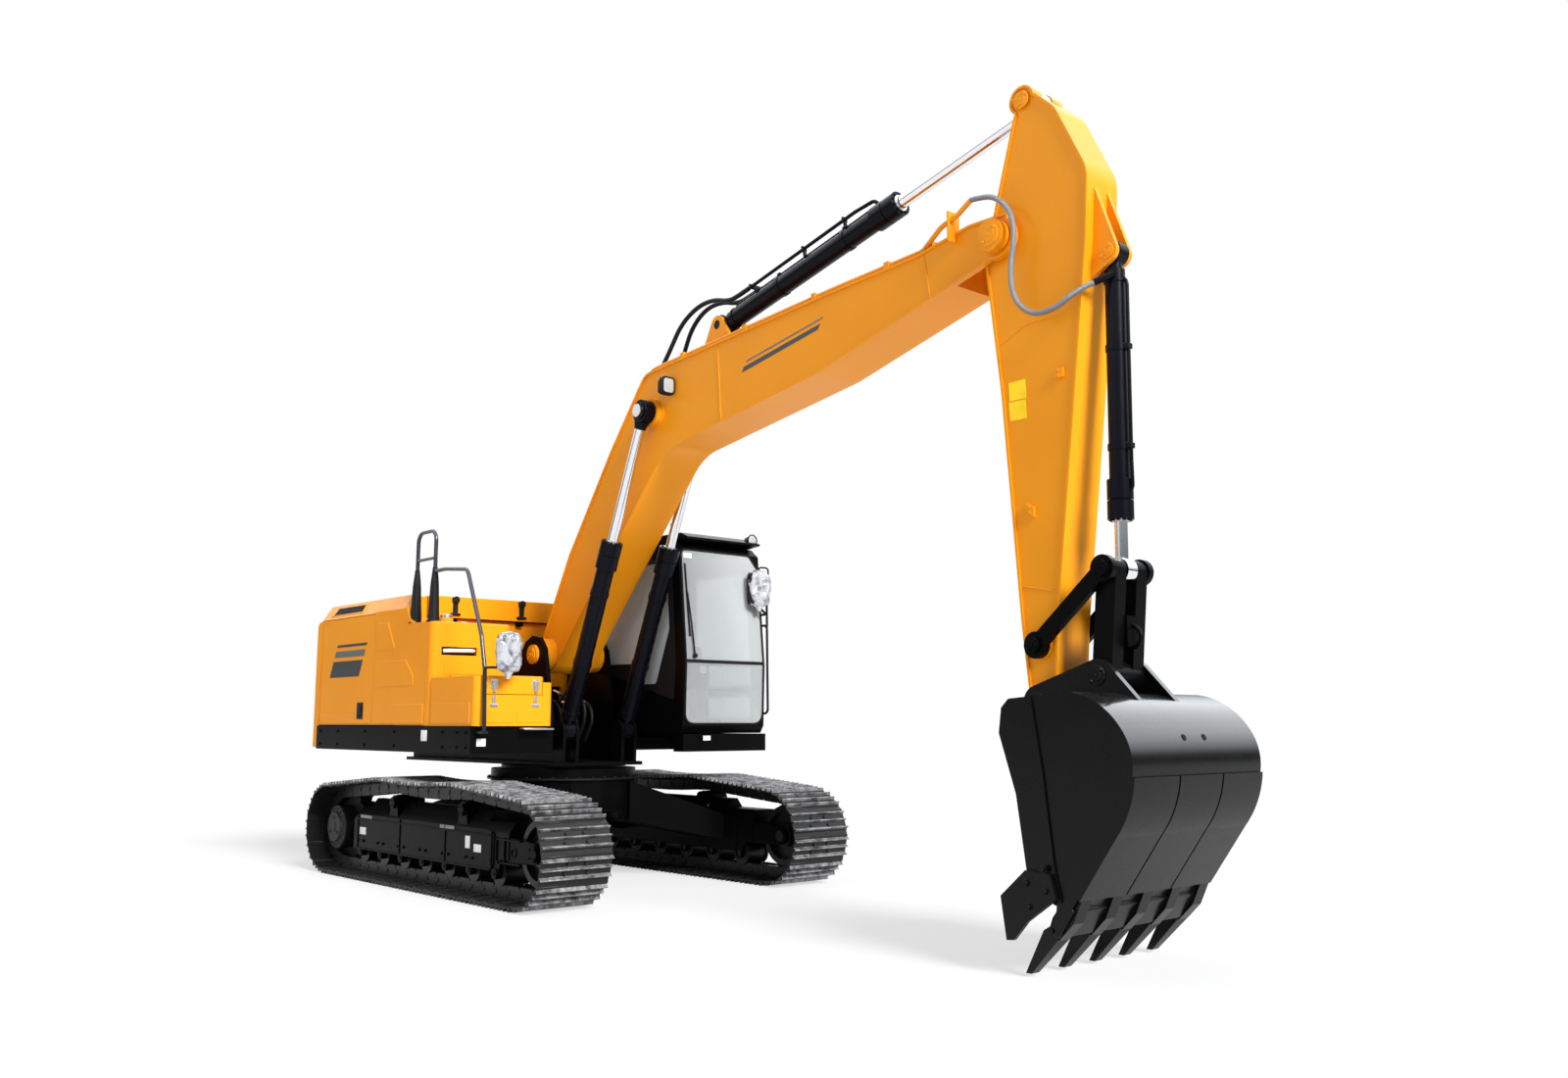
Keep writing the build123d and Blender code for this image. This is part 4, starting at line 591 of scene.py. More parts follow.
LINK_OUTLINE = (
    (-0.13, -0.028), (-0.06, -RAIL_INSIDE), (0.79, -RAIL_INSIDE), (0.86, -0.028), (0.86, 0.030),
    (0.80, SHOE_SEAT), (-0.07, SHOE_SEAT), (-0.13, 0.030),
)
SHOE_BOLTS = ((0.32, -0.095), (0.32, 0.095), (0.68, -0.075), (0.68, 0.075))
# marks the faces that take the lighter steel, partly wear and partly a painted highlight
WEAR_AND_HIGHLIGHT_FACES = "wear_and_highlight_mark"


def track(side, sign):
    """One track: shoes, link plates, bushings, pins and shoe bolts."""
    shape = Shape()
    wear_and_highlight_mark = shape.mesh.faces.layers.int.new(WEAR_AND_HIGHLIGHT_FACES)
    middle = sign * TRACK_Y * Y
    for i in range(LINK_COUNT):
        start, end = chain_pin(LINK_PITCH * i) + middle, chain_pin(LINK_PITCH * (i + 1)) + middle
        run = end - start
        out = Vector((run.z, 0, -run.x)).normalized()

        def at(along, outward, y=0.0):
            return start + run * along + out * outward + y * Y

        known = set(shape.mesh.faces)
        shape.prism([at(a, h, -SHOE_HALF) for a, h in SHOE_OUTLINE], 2 * SHOE_HALF * Y)
        # grouser tops and flanks take the lighter steel: partly wear, partly a painted highlight
        for face in set(shape.mesh.faces) - known:
            heights = [(v.co - start).dot(out) for v in face.verts]
            if len(heights) == 4 and max(heights) > GROUSER_TOP - 0.002 and min(heights) > PLATE_TOP - 0.002:
                face[wear_and_highlight_mark] = 1
        for rail in (-RAIL_Y, RAIL_Y):
            shape.prism([at(a, h, rail - RAIL_HALF) for a, h in LINK_OUTLINE], 2 * RAIL_HALF * Y)
        for half, radius in ((RAIL_Y, 0.031), (RAIL_Y + RAIL_HALF + 0.006, 0.020)):
            shape.rod(at(0, 0, -half), at(0, 0, half), radius, 12)
        for along, y in SHOE_BOLTS:
            shape.rod(at(along, PLATE_TOP, y), at(along, PLATE_TOP + 0.013, y), 0.014, 6)
    piece = shape.done(
        f"track_chain_{side}", track_steel, "undercarriage", bevel=0.0018, segments=1, angle=28,
    )
    # the second material, lighter scratched steel, is partly wear and partly a painted highlight
    piece.data.materials.append(wear_and_highlight_steel)
    for polygon, mark in zip(piece.data.polygons, piece.data.attributes[WEAR_AND_HIGHLIGHT_FACES].data):
        polygon.material_index = mark.value
    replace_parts(piece, f"track_{side}")


for side, sign in SIDES:
    track(side, sign)

FRAME_HALF, SKIRT_Z = 0.15, 0.243
SIDE_PLATE = (
    (-1.34, SKIRT_Z), (1.17, SKIRT_Z), (1.19, 0.300), (1.19, 0.520), (1.10, 0.548), (-1.26, 0.548),
    (-1.34, 0.50),
)
RIDGE_SECTION = ((-0.092, 0.600), (0.092, 0.600), (0.030, 0.684), (-0.030, 0.684))
RIDGES = ((-1.16, -0.72), (-0.52, 0.50), (0.70, 0.98))
ROLLER_Z = AXLE_Z - (CHAIN_RADIUS - RAIL_INSIDE) + 0.0015 + 0.080
ROLLER_XS = [TRACK_MIDDLE + 0.4 * (i - 3) for i in range(7)]
CARRIER_Z = AXLE_Z + CHAIN_RADIUS - RAIL_INSIDE + CARRIER_LIFT - 0.012 - 0.070

for side, sign in SIDES:
    outer, facing = sign * (TRACK_Y + FRAME_HALF), sign * Y
    plating = Shape().side(SIDE_PLATE, *span(outer, sign, -0.004, 0.010))
    plating.side(SIDE_PLATE, *span(outer, sign, -2 * FRAME_HALF - 0.010, -2 * FRAME_HALF + 0.004))
    for z in ((SKIRT_Z, SKIRT_Z + 0.014), (0.500, 0.512)):
        plating.box((-1.28, 1.15), span(outer, sign, 0.008, 0.020), z)
    for x in (-1.26, -0.42, 0.40, 1.155):
        plating.box((x, x + 0.014), span(outer, sign, 0.008, 0.018), (SKIRT_Z + 0.014, 0.545))
    for rear, front in RIDGES:
        plating.prism([(rear, sign * TRACK_Y + y, z) for y, z in RIDGE_SECTION], (front - rear, 0, 0))
    # yoke: flanges, and a plate with the grease valve's hole
    yoke = ((1.22, 0.300), (1.60, 0.320), (1.60, 0.486), (1.22, 0.500))
    plating.side(yoke, *span(outer, sign, -0.030, -0.010))
    flange = span(outer, sign, -0.012, 0.012)
    for z in (0.305, 0.478):
        plating.box((1.22, 1.58), flange, (z, z + 0.013))
    for x in (1.22, 1.34):
        plating.box((x, x + 0.013), flange, (0.300, 0.500))
    plating.ring((1.47, outer - sign * 0.012, 0.395), facing, 0.038, 0.012, 0.012)
    plating.done(f"track_frame_plating_{side}", black_paint, "undercarriage", "track_steel", bevel=0.003)

    caps = Shape()
    for x in ROLLER_XS:
        caps.stub(x, ROLLER_Z, outer, sign, -0.004, 0.014, 0.040)
        caps.stub(x, ROLLER_Z, outer, sign, 0.012, 0.020, 0.018, 12)
        for shift in (-0.055, 0.055):
            caps.bolt((x + shift, outer + sign * 0.010, ROLLER_Z + 0.092), facing)
    face = outer - sign * 0.020
    for x in (TRACK_MIDDLE - CARRIER_HALF, TRACK_MIDDLE + CARRIER_HALF):
        caps.stub(x, CARRIER_Z, face, sign, 0, 0.022, 0.048)
        caps.bolts((x, face + sign * 0.02, CARRIER_Z), facing, 0.032, 4, 0.007, math.pi / 4)
    face = outer - sign * 0.007
    caps.stub(IDLER_X, AXLE_Z, face, sign, 0, 0.016, 0.062)
    caps.bolts((IDLER_X, face + sign * 0.012, AXLE_Z), facing, 0.045, 4, 0.010, math.pi / 4)
    caps.done(f"roller_caps_{side}", black_paint, "undercarriage", "track_steel", bevel=0.002, segments=1)

    hub = Shape().stub(SPROCKET_X, AXLE_Z, outer, sign, -0.002, 0.014, 0.190, 64)
    hub.stub(SPROCKET_X, AXLE_Z, outer, sign, 0.012, 0.042, 0.140, 64, 0.132)
    hub.stub(SPROCKET_X, AXLE_Z, outer, sign, 0.040, 0.050, 0.045, 32)
    hub.bolts((SPROCKET_X, outer + sign * 0.014, AXLE_Z), facing, 0.165, 18, 0.010)
    hub.bolts((SPROCKET_X, outer + sign * 0.042, AXLE_Z), facing, 0.085, 3, 0.014, math.pi / 2)
    hub.done(f"final_drive_cover_{side}", hub_paint, "undercarriage", bevel=0.003)

    pads, blanks = span(outer, sign, 0.009, 0.016), span(outer, sign, 0.009, 0.012)
    boxes(f"step_pads_{side}", grey_plastic, (
        ((-1.20, -0.97), pads, (0.515, 0.543)), ((0.32, 0.56), pads, (0.515, 0.543)),
    ), "undercarriage", 0.002)
    boxes(f"frame_blank_plates_{side}", white_plate, (
        ((-1.215, -1.09), blanks, (0.372, 0.435)), ((0.745, 0.82), blanks, (0.385, 0.48)),
        ((0.885, 1.00), blanks, (0.365, 0.425)),
    ), "undercarriage", 0.001)

swing_trim = Shape().ring((0, 0, 0.868), Z, 0.675, 0.05, 0.016, 96)
swing_trim.bolts((0, 0, 0.884), Z, 0.658, 36, 0.012, other=Y)
swing_trim.done("swing_bearing_bolts", track_steel, "undercarriage", bevel=0.002, segments=1)

# -------------------------------------------------------------------- house

SIDE_Y, HALF_WIDTH = 1.345, 1.355
HOUSING_FRONT, HOOD_FRONT, HOOD_TOP, SHOULDER, ROOF_Y = -0.66, -0.60, 2.492, 2.34, 1.255


def embossed(name, outlines, depth, body):
    """Shallow pressed panels on the right side wall."""
    shape = Shape()
    for outline in outlines:
        shape.side(outline, *span(-SIDE_Y, -1, -0.002, depth))
    shape.done(name, yellow_paint, body, bevel=0.006, segments=3)


embossed("side_panel_pressings", (
    ((-1.03, 2.245), (-0.81, 2.245), (-0.675, 2.02), (-0.675, 2.005), (-1.03, 2.005)),
    ((-1.03, 1.905), (-0.435, 1.895), (-0.285, 1.765), (-0.275, 1.675), (-1.03, 1.675)),
    ((-1.06, 1.352), (-0.085, 1.352), (-0.085, 1.515), (-1.06, 1.515)),
), 0.006, "house")
embossed("tank_and_box_pressings", (
    ((0.085, 1.352), (0.735, 1.352), (0.735, 1.515), (0.085, 1.515)),
), 0.004, "house")
embossed("right_door_pressing", (
    ((-2.235, 1.352), (-1.125, 1.352), (-1.125, 1.372), (-1.60, 1.385), (-2.235, 1.440)),
), 0.005, "right_door")


def slanted_bars(name, bars, sign, body):
    """Plain slanted bars: each is rear x, front x, low z, high z, the slant's shift in x and the paint."""
    for number, (rear, front, low, high, shift, material) in enumerate(bars):
        bar = ((rear, low), (front, low), (front + shift, high), (rear + shift, high))
        shape = Shape().side(bar, *span(sign * SIDE_Y, sign, 0, 0.0025))
        shape.done(f"{name}_{number}", material, body, bevel=0.001, segments=1)


# generic panels where such machines carry their names
slanted_bars("right_door_accent", (
    (-2.06, -1.40, 1.780, 1.930, 0.075, accent_dark), (-1.965, -1.305, 1.965, 2.025, 0.030, accent_grey),
    (-1.915, -1.255, 2.060, 2.085, 0.012, accent_dark),
), -1, "right_door")
slanted_bars("left_door_accent", (
    (-2.19, -1.62, 1.700, 1.760, 0.030, accent_dark), (-2.145, -1.575, 1.790, 1.815, 0.012, accent_grey),
), 1, "left_rear_door")

# recessed paddle latches: frame, dish, paddle and key cylinder
LATCH_Z = 1.465
LATCHES = (("right_door", -1.34, -1), ("left_rear_door", -1.56, 1), ("left_front_door", -0.79, 1))
for body, x, sign in LATCHES:
    y = sign * SIDE_Y
    latch = Shape()
    for half, low, high, foot, head in (
        (0.062, -0.002, 0.006, -0.075, 0.075), (0.040, 0.004, 0.013, -0.020, 0.055),
    ):
        latch.box((x - half, x + half), span(y, sign, low, high), (LATCH_Z + foot, LATCH_Z + head))
    latch.stub(x, LATCH_Z - 0.045, y, sign, 0, 0.014, 0.015)
    latch.done(f"{body}_latch", trim_plastic, body, bevel=0.003)

LOUVRE_YS, LOUVRE_PITCH = (SIDE_Y - 0.002, SIDE_Y + 0.009), 0.052
boxes("left_door_louvres", yellow_paint, [
    ((-2.12, -1.60), LOUVRE_YS, (2.05 - LOUVRE_PITCH * i, 2.076 - LOUVRE_PITCH * i)) for i in range(9)
], "left_rear_door", 0.008, 3)

# intake in the roof's right shoulder
shoulder_foot = Vector((0, -SIDE_Y, SHOULDER))
shoulder_rise = Vector((0, SIDE_Y - ROOF_Y, HOOD_TOP - 0.012 - SHOULDER))
outward = Vector((0, -shoulder_rise.z, shoulder_rise.y)).normalized()


def on_shoulder(rears, fronts, low, high, depth, sunk=0.002):
    """A plate on the right shoulder: x along its foot and top, shares of the height, and depth."""
    corners = ((rears[0], low), (fronts[0], low), (fronts[1], high), (rears[1], high))
    foot = shoulder_foot - outward * sunk
    return [foot + x * X + shoulder_rise * share for x, share in corners], outward * depth


intake = Shape()
for low, high, rear, front in ((0.18, 0.26, -2.12, -1.40), (0.74, 0.82, -2.07, -1.42)):
    intake.prism(*on_shoulder((rear, rear), (front, front), low, high, 0.009))
for x, lean in ((-2.12, 0.05), (-1.42, -0.02)):
    intake.prism(*on_shoulder((x, x + lean), (x + 0.02, x + 0.02 + lean), 0.18, 0.82, 0.009))
intake.done("roof_intake_rim", yellow_paint, "house", bevel=0.004)
grille = Shape().prism(*on_shoulder((-2.10, -2.06), (-1.41, -1.43), 0.24, 0.76, 0.004))
for i in range(20):
    x = -2.06 + 0.032 * i
    grille.prism(*on_shoulder((x, x), (x + 0.008, x + 0.008), 0.25, 0.75, 0.006, 0))
grille.done("roof_intake_grille", trim_plastic, "house")

# rubber latches of the hood
for number, y in enumerate((-0.812, -0.130)):
    strap = Shape().box((HOOD_FRONT - 0.003, HOOD_FRONT + 0.014), (y - 0.024, y + 0.024), (2.335, 2.470))
    strap.rod((HOOD_FRONT + 0.008, y - 0.048, 2.330), (HOOD_FRONT + 0.008, y + 0.048, 2.330), 0.013)
    strap.rod((HOOD_FRONT, y, 2.462), (HOOD_FRONT + 0.030, y, 2.462), 0.032)
    strap.box((HOOD_FRONT - 0.003, HOOD_FRONT + 0.020), (y - 0.034, y + 0.034), (2.440, 2.484))
    strap.done(f"hood_latch_{number}", rubber, "engine_hood", "cab_trim", bevel=0.004)
    boxes(f"hood_catch_{number}", black_paint, (
        ((HOUSING_FRONT - 0.002, HOUSING_FRONT + 0.05), (y - 0.030, y + 0.030), (2.255, 2.290)),
    ), "house", 0.003, 2)
boxes("hood_pressings", yellow_paint, [
    ((-2.02, -0.80), y, (HOOD_TOP - 0.002, HOOD_TOP + 0.008)) for y in ((-0.92, -0.10), (0.08, 0.90))
], "engine_hood", 0.008, 3)

# tool box: toggle latches over the lid's seam, and the deck's front step
BOX_FRONT = 0.825
for number, y in enumerate((-1.183, -0.802)):
    upper = Shape().box((BOX_FRONT - 0.002, BOX_FRONT + 0.006), (y - 0.030, y + 0.030), (1.625, 1.705))
    upper.box((BOX_FRONT + 0.004, BOX_FRONT + 0.020), (y - 0.012, y + 0.012), (1.600, 1.690))
    upper.rod((BOX_FRONT + 0.012, y - 0.024, 1.690), (BOX_FRONT + 0.012, y + 0.024, 1.690), 0.008)
    upper.done(f"tool_box_hasp_{number}", zinc, "tool_box_lid", bevel=0.002, segments=1)
    lower = Shape().box((BOX_FRONT - 0.002, BOX_FRONT + 0.006), (y - 0.036, y + 0.036), (1.480, 1.510))
    lower.box((BOX_FRONT + 0.002, BOX_FRONT + 0.012), (y - 0.014, y + 0.014), (1.500, 1.582))
    lower.rod((BOX_FRONT + 0.010, y - 0.030, 1.500), (BOX_FRONT + 0.010, y + 0.030, 1.500), 0.009)
    lower.done(f"tool_box_lever_{number}", zinc, "house", bevel=0.002, segments=1)
boxes("tool_box_pressings", yellow_paint, [
    ((BOX_FRONT - 0.002, BOX_FRONT + 0.004), y, (1.355, 1.462)) for y in ((-1.24, -1.02), (-0.97, -0.72))
], "house", 0.006, 3)
boxes("deck_step", zinc, [((0.770, 0.880), (-0.930, -0.650), (1.298, 1.312))] + [
    ((0.785 + 0.016 * i, 0.790 + 0.016 * i), (-0.920, -0.660), (1.311, 1.315)) for i in range(6)
], "house", 0.002)

skirt = Shape()
for x in (-2.20, -1.80, -1.20, -0.60, 0.30, 0.55, 0.70):
    for z in (1.16, 1.28):
        for sign in (-1, 1):
            skirt.bolt((x, sign * HALF_WIDTH, z), sign * Y, 0.011)
skirt.done("skirt_bolts", black_paint, "house")
boxes("skirt_blank_plates", white_plate, (
    ((-0.075, 0.030), (-HALF_WIDTH - 0.003, -HALF_WIDTH + 0.001), (1.205, 1.295)),
    ((0.779, 0.783), (-1.30, -1.22), (1.17, 1.23)),
), "house", 0.001)

# tank: grab bar in its slot, filler neck and breather on top
TANK_FRONT, TANK_TOP = 0.05, 2.21
FILLER = Vector((-0.28, -1.06, TANK_TOP))
RAIL_LEGS, RAIL_LINE = (-0.395, -0.060), -1.290
Shape().tube([
    (TANK_FRONT - 0.012, -1.235, 1.96), (TANK_FRONT + 0.02, -1.20, 1.962), (TANK_FRONT + 0.02, -1.00, 1.966),
    (TANK_FRONT - 0.012, -0.955, 1.966),
], 0.016, 14, 0.03).done("tank_grab_bar", white_plate, "house")
boxes("tank_slot_liner", trim_plastic, (
    ((TANK_FRONT - 0.0245, TANK_FRONT - 0.020), (-1.258, -0.932), (1.927, 1.993)),
), "house")
boxes("tank_pressing", yellow_paint, (
    ((TANK_FRONT - 0.002, TANK_FRONT + 0.005), (-1.24, -0.76), (1.762, 1.900)),
), "house", 0.006, 3)
neck = Shape().rod(FILLER - 0.01 * Z, FILLER + 0.055 * Z, 0.060, 36).ring(FILLER, Z, 0.085, 0.03, 0.010)
neck.done("tank_filler_neck", yellow_paint, "house", bevel=0.003)
tank_caps = Shape().rod(FILLER + 0.052 * Z, FILLER + 0.085 * Z, 0.052, 20)
tank_caps.rod((-0.46, -0.80, TANK_TOP - 0.005), (-0.46, -0.80, TANK_TOP + 0.045), 0.030, 24)
tank_caps.done("tank_caps", zinc, "house", bevel=0.004)

rail_feet = Shape()
for x in RAIL_LEGS:
    rail_feet.rod((x, RAIL_LINE, TANK_TOP), (x, RAIL_LINE, 2.545), 0.050, 28, 0.035)
    rail_feet.rod((x, RAIL_LINE, 2.545), (x, RAIL_LINE, 2.680), 0.035, 28, 0.020)
    rail_feet.ring((x, RAIL_LINE, TANK_TOP), Z, 0.062, 0.020, 0.012)
rail_feet.done("rail_foot_covers", rubber, "house", "black_paint", bevel=0.003)

# counterweight: lifting eyes and plugged bolt holes
TAIL_RADIUS = 2.75
weight_trim, weight_plugs = Shape(), Shape()
for y in (-0.74, 0.74):
    weight_trim.side(((-2.52, 2.326), (-2.36, 2.326), (-2.40, 2.392), (-2.48, 2.392)), y - 0.018, y + 0.018)
    weight_trim.ring((-2.44, y - 0.024, 2.358), Y, 0.028, 0.012, 0.048)
weight_trim.done("counterweight_eyes", yellow_paint, "house", bevel=0.004)
for y in (-0.42, 0.42):
    reach = -math.sqrt(TAIL_RADIUS ** 2 - y ** 2)
    for z in (1.42, 1.95):
        weight_plugs.rod((reach + 0.01, y, z), (reach - 0.004, y, z), 0.042, 32)
weight_plugs.done("counterweight_plugs", trim_plastic, "house", bevel=0.003)

# ---------------------------------------------------------------------- cab

CAB_IN, CAB_OUT, CAB_ROOF, CAB_REAR = 0.41, 1.345, 2.960, -0.630
FRONT_FOOT, FRONT_BELT, FRONT_HEAD = (1.215, 1.326), (1.230, 1.870), (1.130, 2.870)
UPPER_NORMAL = Vector((FRONT_HEAD[1] - FRONT_BELT[1], 0, FRONT_BELT[0] - FRONT_HEAD[0])).normalized()
LOWER_NORMAL = Vector((FRONT_BELT[1] - FRONT_FOOT[1], 0, FRONT_FOOT[0] - FRONT_BELT[0])).normalized()


def on_screen(y, z):
    """A point on the windscreen."""
    low, high = (FRONT_FOOT, FRONT_BELT) if z < FRONT_BELT[1] else (FRONT_BELT, FRONT_HEAD)
    return Vector((low[0] + (high[0] - low[0]) * (z - low[1]) / (high[1] - low[1]), y, z))


def rounded_polygon(corners, radius):
    """A plane polygon with rounded corners; one radius, or one for each corner."""
    count, steps = len(corners), 6
    radii = radius if isinstance(radius, (tuple, list)) else (radius,) * count
    ring = []
    for i, corner in enumerate(corners):
        here = Vector(corner)
        before, after = Vector(corners[i - 1]) - here, Vector(corners[(i + 1) % count]) - here
        half = before.angle(after) / 2
        reach = min(radii[i] / math.tan(half), before.length * 0.48, after.length * 0.48)
        first, last = here + before.normalized() * reach, here + after.normalized() * reach
        for step in range(steps + 1):
            u = step / steps
            ring.append(first * (1 - u) ** 2 + here * 2 * u * (1 - u) + last * u ** 2)
    return ring


def moved_inward(ring, amount):
    """A closed plane ring moved inward by an amount."""
    following = ring[1:] + ring[:1]
    turn = 1 if sum(a.x * b.y - b.x * a.y for a, b in zip(ring, following)) > 0 else -1
    moved = []
    for last, here, coming in zip(ring[-1:] + ring[:-1], ring, following):
        before, after = (here - last).normalized(), (coming - here).normalized()
        normal = Vector((-(before + after).y, (before + after).x)).normalized() * turn
        cosine = max(0.35, normal.dot(Vector((-after.y, after.x)) * turn))
        moved.append(here + normal * (amount / cosine))
    return moved


def frame_between(name, outer, inner, place, normal, body, low=-0.002, high=0.007):
    """A flat rubber frame between two plane rings of as many points; place(u, v) lifts them into space."""
    shape = Shape()
    loops = [
        [shape.mesh.verts.new(Vector(place(*p)) + normal * height) for p in ring]
        for ring, height in ((outer, low), (outer, high), (inner, high), (inner, low))
    ]
    for here, there in zip(loops, loops[1:] + loops[:1]):
        for i in range(len(outer)):
            j = (i + 1) % len(outer)
            shape.mesh.faces.new((here[i], here[j], there[j], there[i]))
    shape.done(name, gasket, body, bevel=0.002)


# the front panes are bonded over the frame, with a painted border under their edges
UPPER_PANE = ((0.435, 1.895), (1.296, 1.895), (1.296, 2.735), (1.200, 2.862), (0.435, 2.862))
LOWER_PANE = ((0.435, 1.352), (1.296, 1.352), (1.296, 1.877), (0.435, 1.877))
panes = Shape()
for name, corners, radii, normal in (
    ("windscreen", UPPER_PANE, (0.012, 0.012, 0.06, 0.06, 0.05), UPPER_NORMAL),
    ("lower_screen", LOWER_PANE, (0.10, 0.10, 0.012, 0.012), LOWER_NORMAL),
):
    ring = rounded_polygon(corners, radii)
    panes.prism([on_screen(*p) + normal * 0.003 for p in ring], normal * 0.005)
    outer, inner = moved_inward(ring, -0.012), moved_inward(ring, 0.004)
    frame_between(f"{name}_seal", outer, inner, on_screen, normal, "house", high=0.010)

# the other panes sit this far in from their walls' outer faces
SET_IN = (0.012, 0.018)
RIGHT_PANE = ((-0.520, 1.950), (1.085, 1.560), (1.105, 1.870), (1.025, 2.800), (-0.520, 2.800))
panes.side(RIGHT_PANE, *span(CAB_IN, 1, *SET_IN))
panes.box((-0.540, 0.040), span(CAB_OUT, -1, *SET_IN), (1.900, 2.780))
panes.box(span(CAB_REAR, 1, *SET_IN), (0.510, 1.245), (1.950, 2.800))
panes.box((-0.210, 0.795), (0.610, 1.145), span(CAB_ROOF, -1, *SET_IN))
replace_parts(panes.done("cab_panes", glass, "house"), "cab_glass")
boxes("screen_crossbar", gasket, (
    ((FRONT_BELT[0] - 0.006, FRONT_BELT[0] + 0.012), (0.42, 1.31), (1.872, 1.900)),
), "house", 0.003, 2)

RIGHT_OPENING = (
    (-0.525, 1.952), (-0.250, 1.880), (0.400, 1.722), (0.650, 1.661), (1.092, 1.552), (1.112, 1.870),
    (1.030, 2.806), (-0.526, 2.806),
)
RIGHT_SIGHT = (
    (-0.480, 1.985), (-0.200, 1.886), (0.430, 1.883), (0.610, 1.696), (0.830, 1.694), (1.020, 2.170),
    (0.965, 2.765), (-0.480, 2.765),
)
frame_between(
    "right_window_surround", rounded_polygon(RIGHT_OPENING, 0.02), rounded_polygon(RIGHT_SIGHT, 0.05),
    lambda x, z: (x, CAB_IN, z), -Y, "house", -0.010, 0.006,
)


def on_left(x, z):
    """A point on the cab's left wall."""
    return x, CAB_OUT, z


# rubber seals of even width along the windows' edges: corners, their radius and the seal's width
for name, corners, radius, width, place, normal, body in (
    ("left_window", ((-0.546, 1.894), (0.046, 1.894), (0.046, 2.786), (-0.546, 2.786)), 0.06, 0.032,
     on_left, Y, "house"),
    ("rear_window", ((0.504, 1.944), (1.251, 1.944), (1.251, 2.806), (0.504, 2.806)), 0.08, 0.034,
     lambda y, z: (CAB_REAR, y, z), -X, "house"),
    ("roof_hatch", ((-0.216, 0.604), (0.801, 0.604), (0.801, 1.151), (-0.216, 1.151)), 0.05, 0.034,
     lambda x, y: (x, y, CAB_ROOF), Z, "house"),
    ("door_window", ((0.178, 1.669), (1.052, 1.669), (1.060, 1.868), (0.980, 2.742), (0.178, 2.742)), 0.05,
     0.026, on_left, Y, "cab_door"),
    ("door_lower", ((0.178, 1.374), (1.046, 1.374), (1.050, 1.611), (0.178, 1.611)), 0.05, 0.026,
     on_left, Y, "cab_door"),
):
    ring = rounded_polygon(corners, radius)
    frame_between(f"{name}_seal", ring, moved_inward(ring, width), place, normal, body)

HANDLE_Z = 1.640
door_trim = Shape().box((0.985, 1.085), (CAB_OUT - 0.002, CAB_OUT + 0.008), (1.612, 1.668))
door_trim.tube([(x, CAB_OUT + lift, HANDLE_Z) for x, lift in (
    (1.000, 0), (1.004, 0.030), (1.066, 0.030), (1.070, 0),
)], 0.008, 12, 0.012)
door_trim.stub(0.96, HANDLE_Z, CAB_OUT, 1, -0.002, 0.008, 0.014)
door_trim.done("cab_door_handle", trim_plastic, "cab_door", bevel=0.002)

# roof: front visor, hatch frame, work lamp and aerial
VISOR = ((0.800, 2.956), (1.040, 2.944), (1.185, 2.958), (1.205, 2.974), (1.100, 3.020), (0.800, 3.022))
roof = Shape().side(VISOR, 0.452, 1.296)
for y in (0.470, 1.262):
    roof.box((-0.35, 0.82), (y, y + 0.022), (CAB_ROOF - 0.002, CAB_ROOF + 0.030))
roof.done("cab_visor", black_paint, "house", bevel=0.008, segments=3)
ROOF_LAMP = Vector((1.120, 1.225, 3.010))
housing = Shape().rod(ROOF_LAMP - 0.03 * X, ROOF_LAMP + 0.045 * X, 0.036, 32, 0.052)
housing.ring(ROOF_LAMP + 0.040 * X, X, 0.056, 0.008, 0.014)
housing.box((1.095, 1.140), (1.170, 1.280), (2.958, 2.980))
housing.done("cab_lamp_housing", trim_plastic, "house", bevel=0.003)
lens = Shape().rod(ROOF_LAMP + 0.040 * X, ROOF_LAMP + 0.048 * X, 0.048, 32)
lens.done("cab_lamp_lens", lens_glass, "house", bevel=0.003)
aerial = Shape().rod((1.00, 0.430, 2.94), (1.00, 0.430, 2.985), 0.016, 16, 0.010)
aerial.rod((1.00, 0.430, 2.98), (0.985, 0.430, 3.110), 0.005, 10, 0.003)
aerial.done("cab_aerial", trim_plastic, "house")

# wiper, parked along the windscreen's inner edge
base, tip = on_screen(0.520, 1.93) + UPPER_NORMAL * 0.020, on_screen(0.470, 2.48) + UPPER_NORMAL * 0.022
wiper = Shape().rod(base - 0.03 * X, base + 0.012 * X, 0.020, 20)
wiper.tube([base, base + (tip - base) * 0.5 + 0.006 * X, tip], 0.007, 10, 0.3)
wiper.rod(on_screen(0.480, 2.10) + 0.014 * X, on_screen(0.462, 2.74) + 0.014 * X, 0.008, 8)
wiper.done("screen_wiper", trim_plastic, "house")

LABEL = ((0.455, 2.790), (0.545, 2.790), (0.545, 2.836), (0.455, 2.836))
label = Shape().prism([on_screen(*p) + UPPER_NORMAL * 0.0085 for p in LABEL], UPPER_NORMAL * 0.0017)
label.done("windscreen_blank_label", white_plate, "house")
boxes("cab_skirt_blank_plate", white_plate, (((1.2345, 1.2375), (0.62, 0.70), (1.205, 1.245)),), "house")

# ------------------------------------------------------------------ mirrors


def superellipse(angle, power):
    """A point on a rounded square of half width 1."""
    c, s = math.cos(angle), math.sin(angle)
    return math.copysign(abs(c) ** power, c), math.copysign(abs(s) ** power, s)


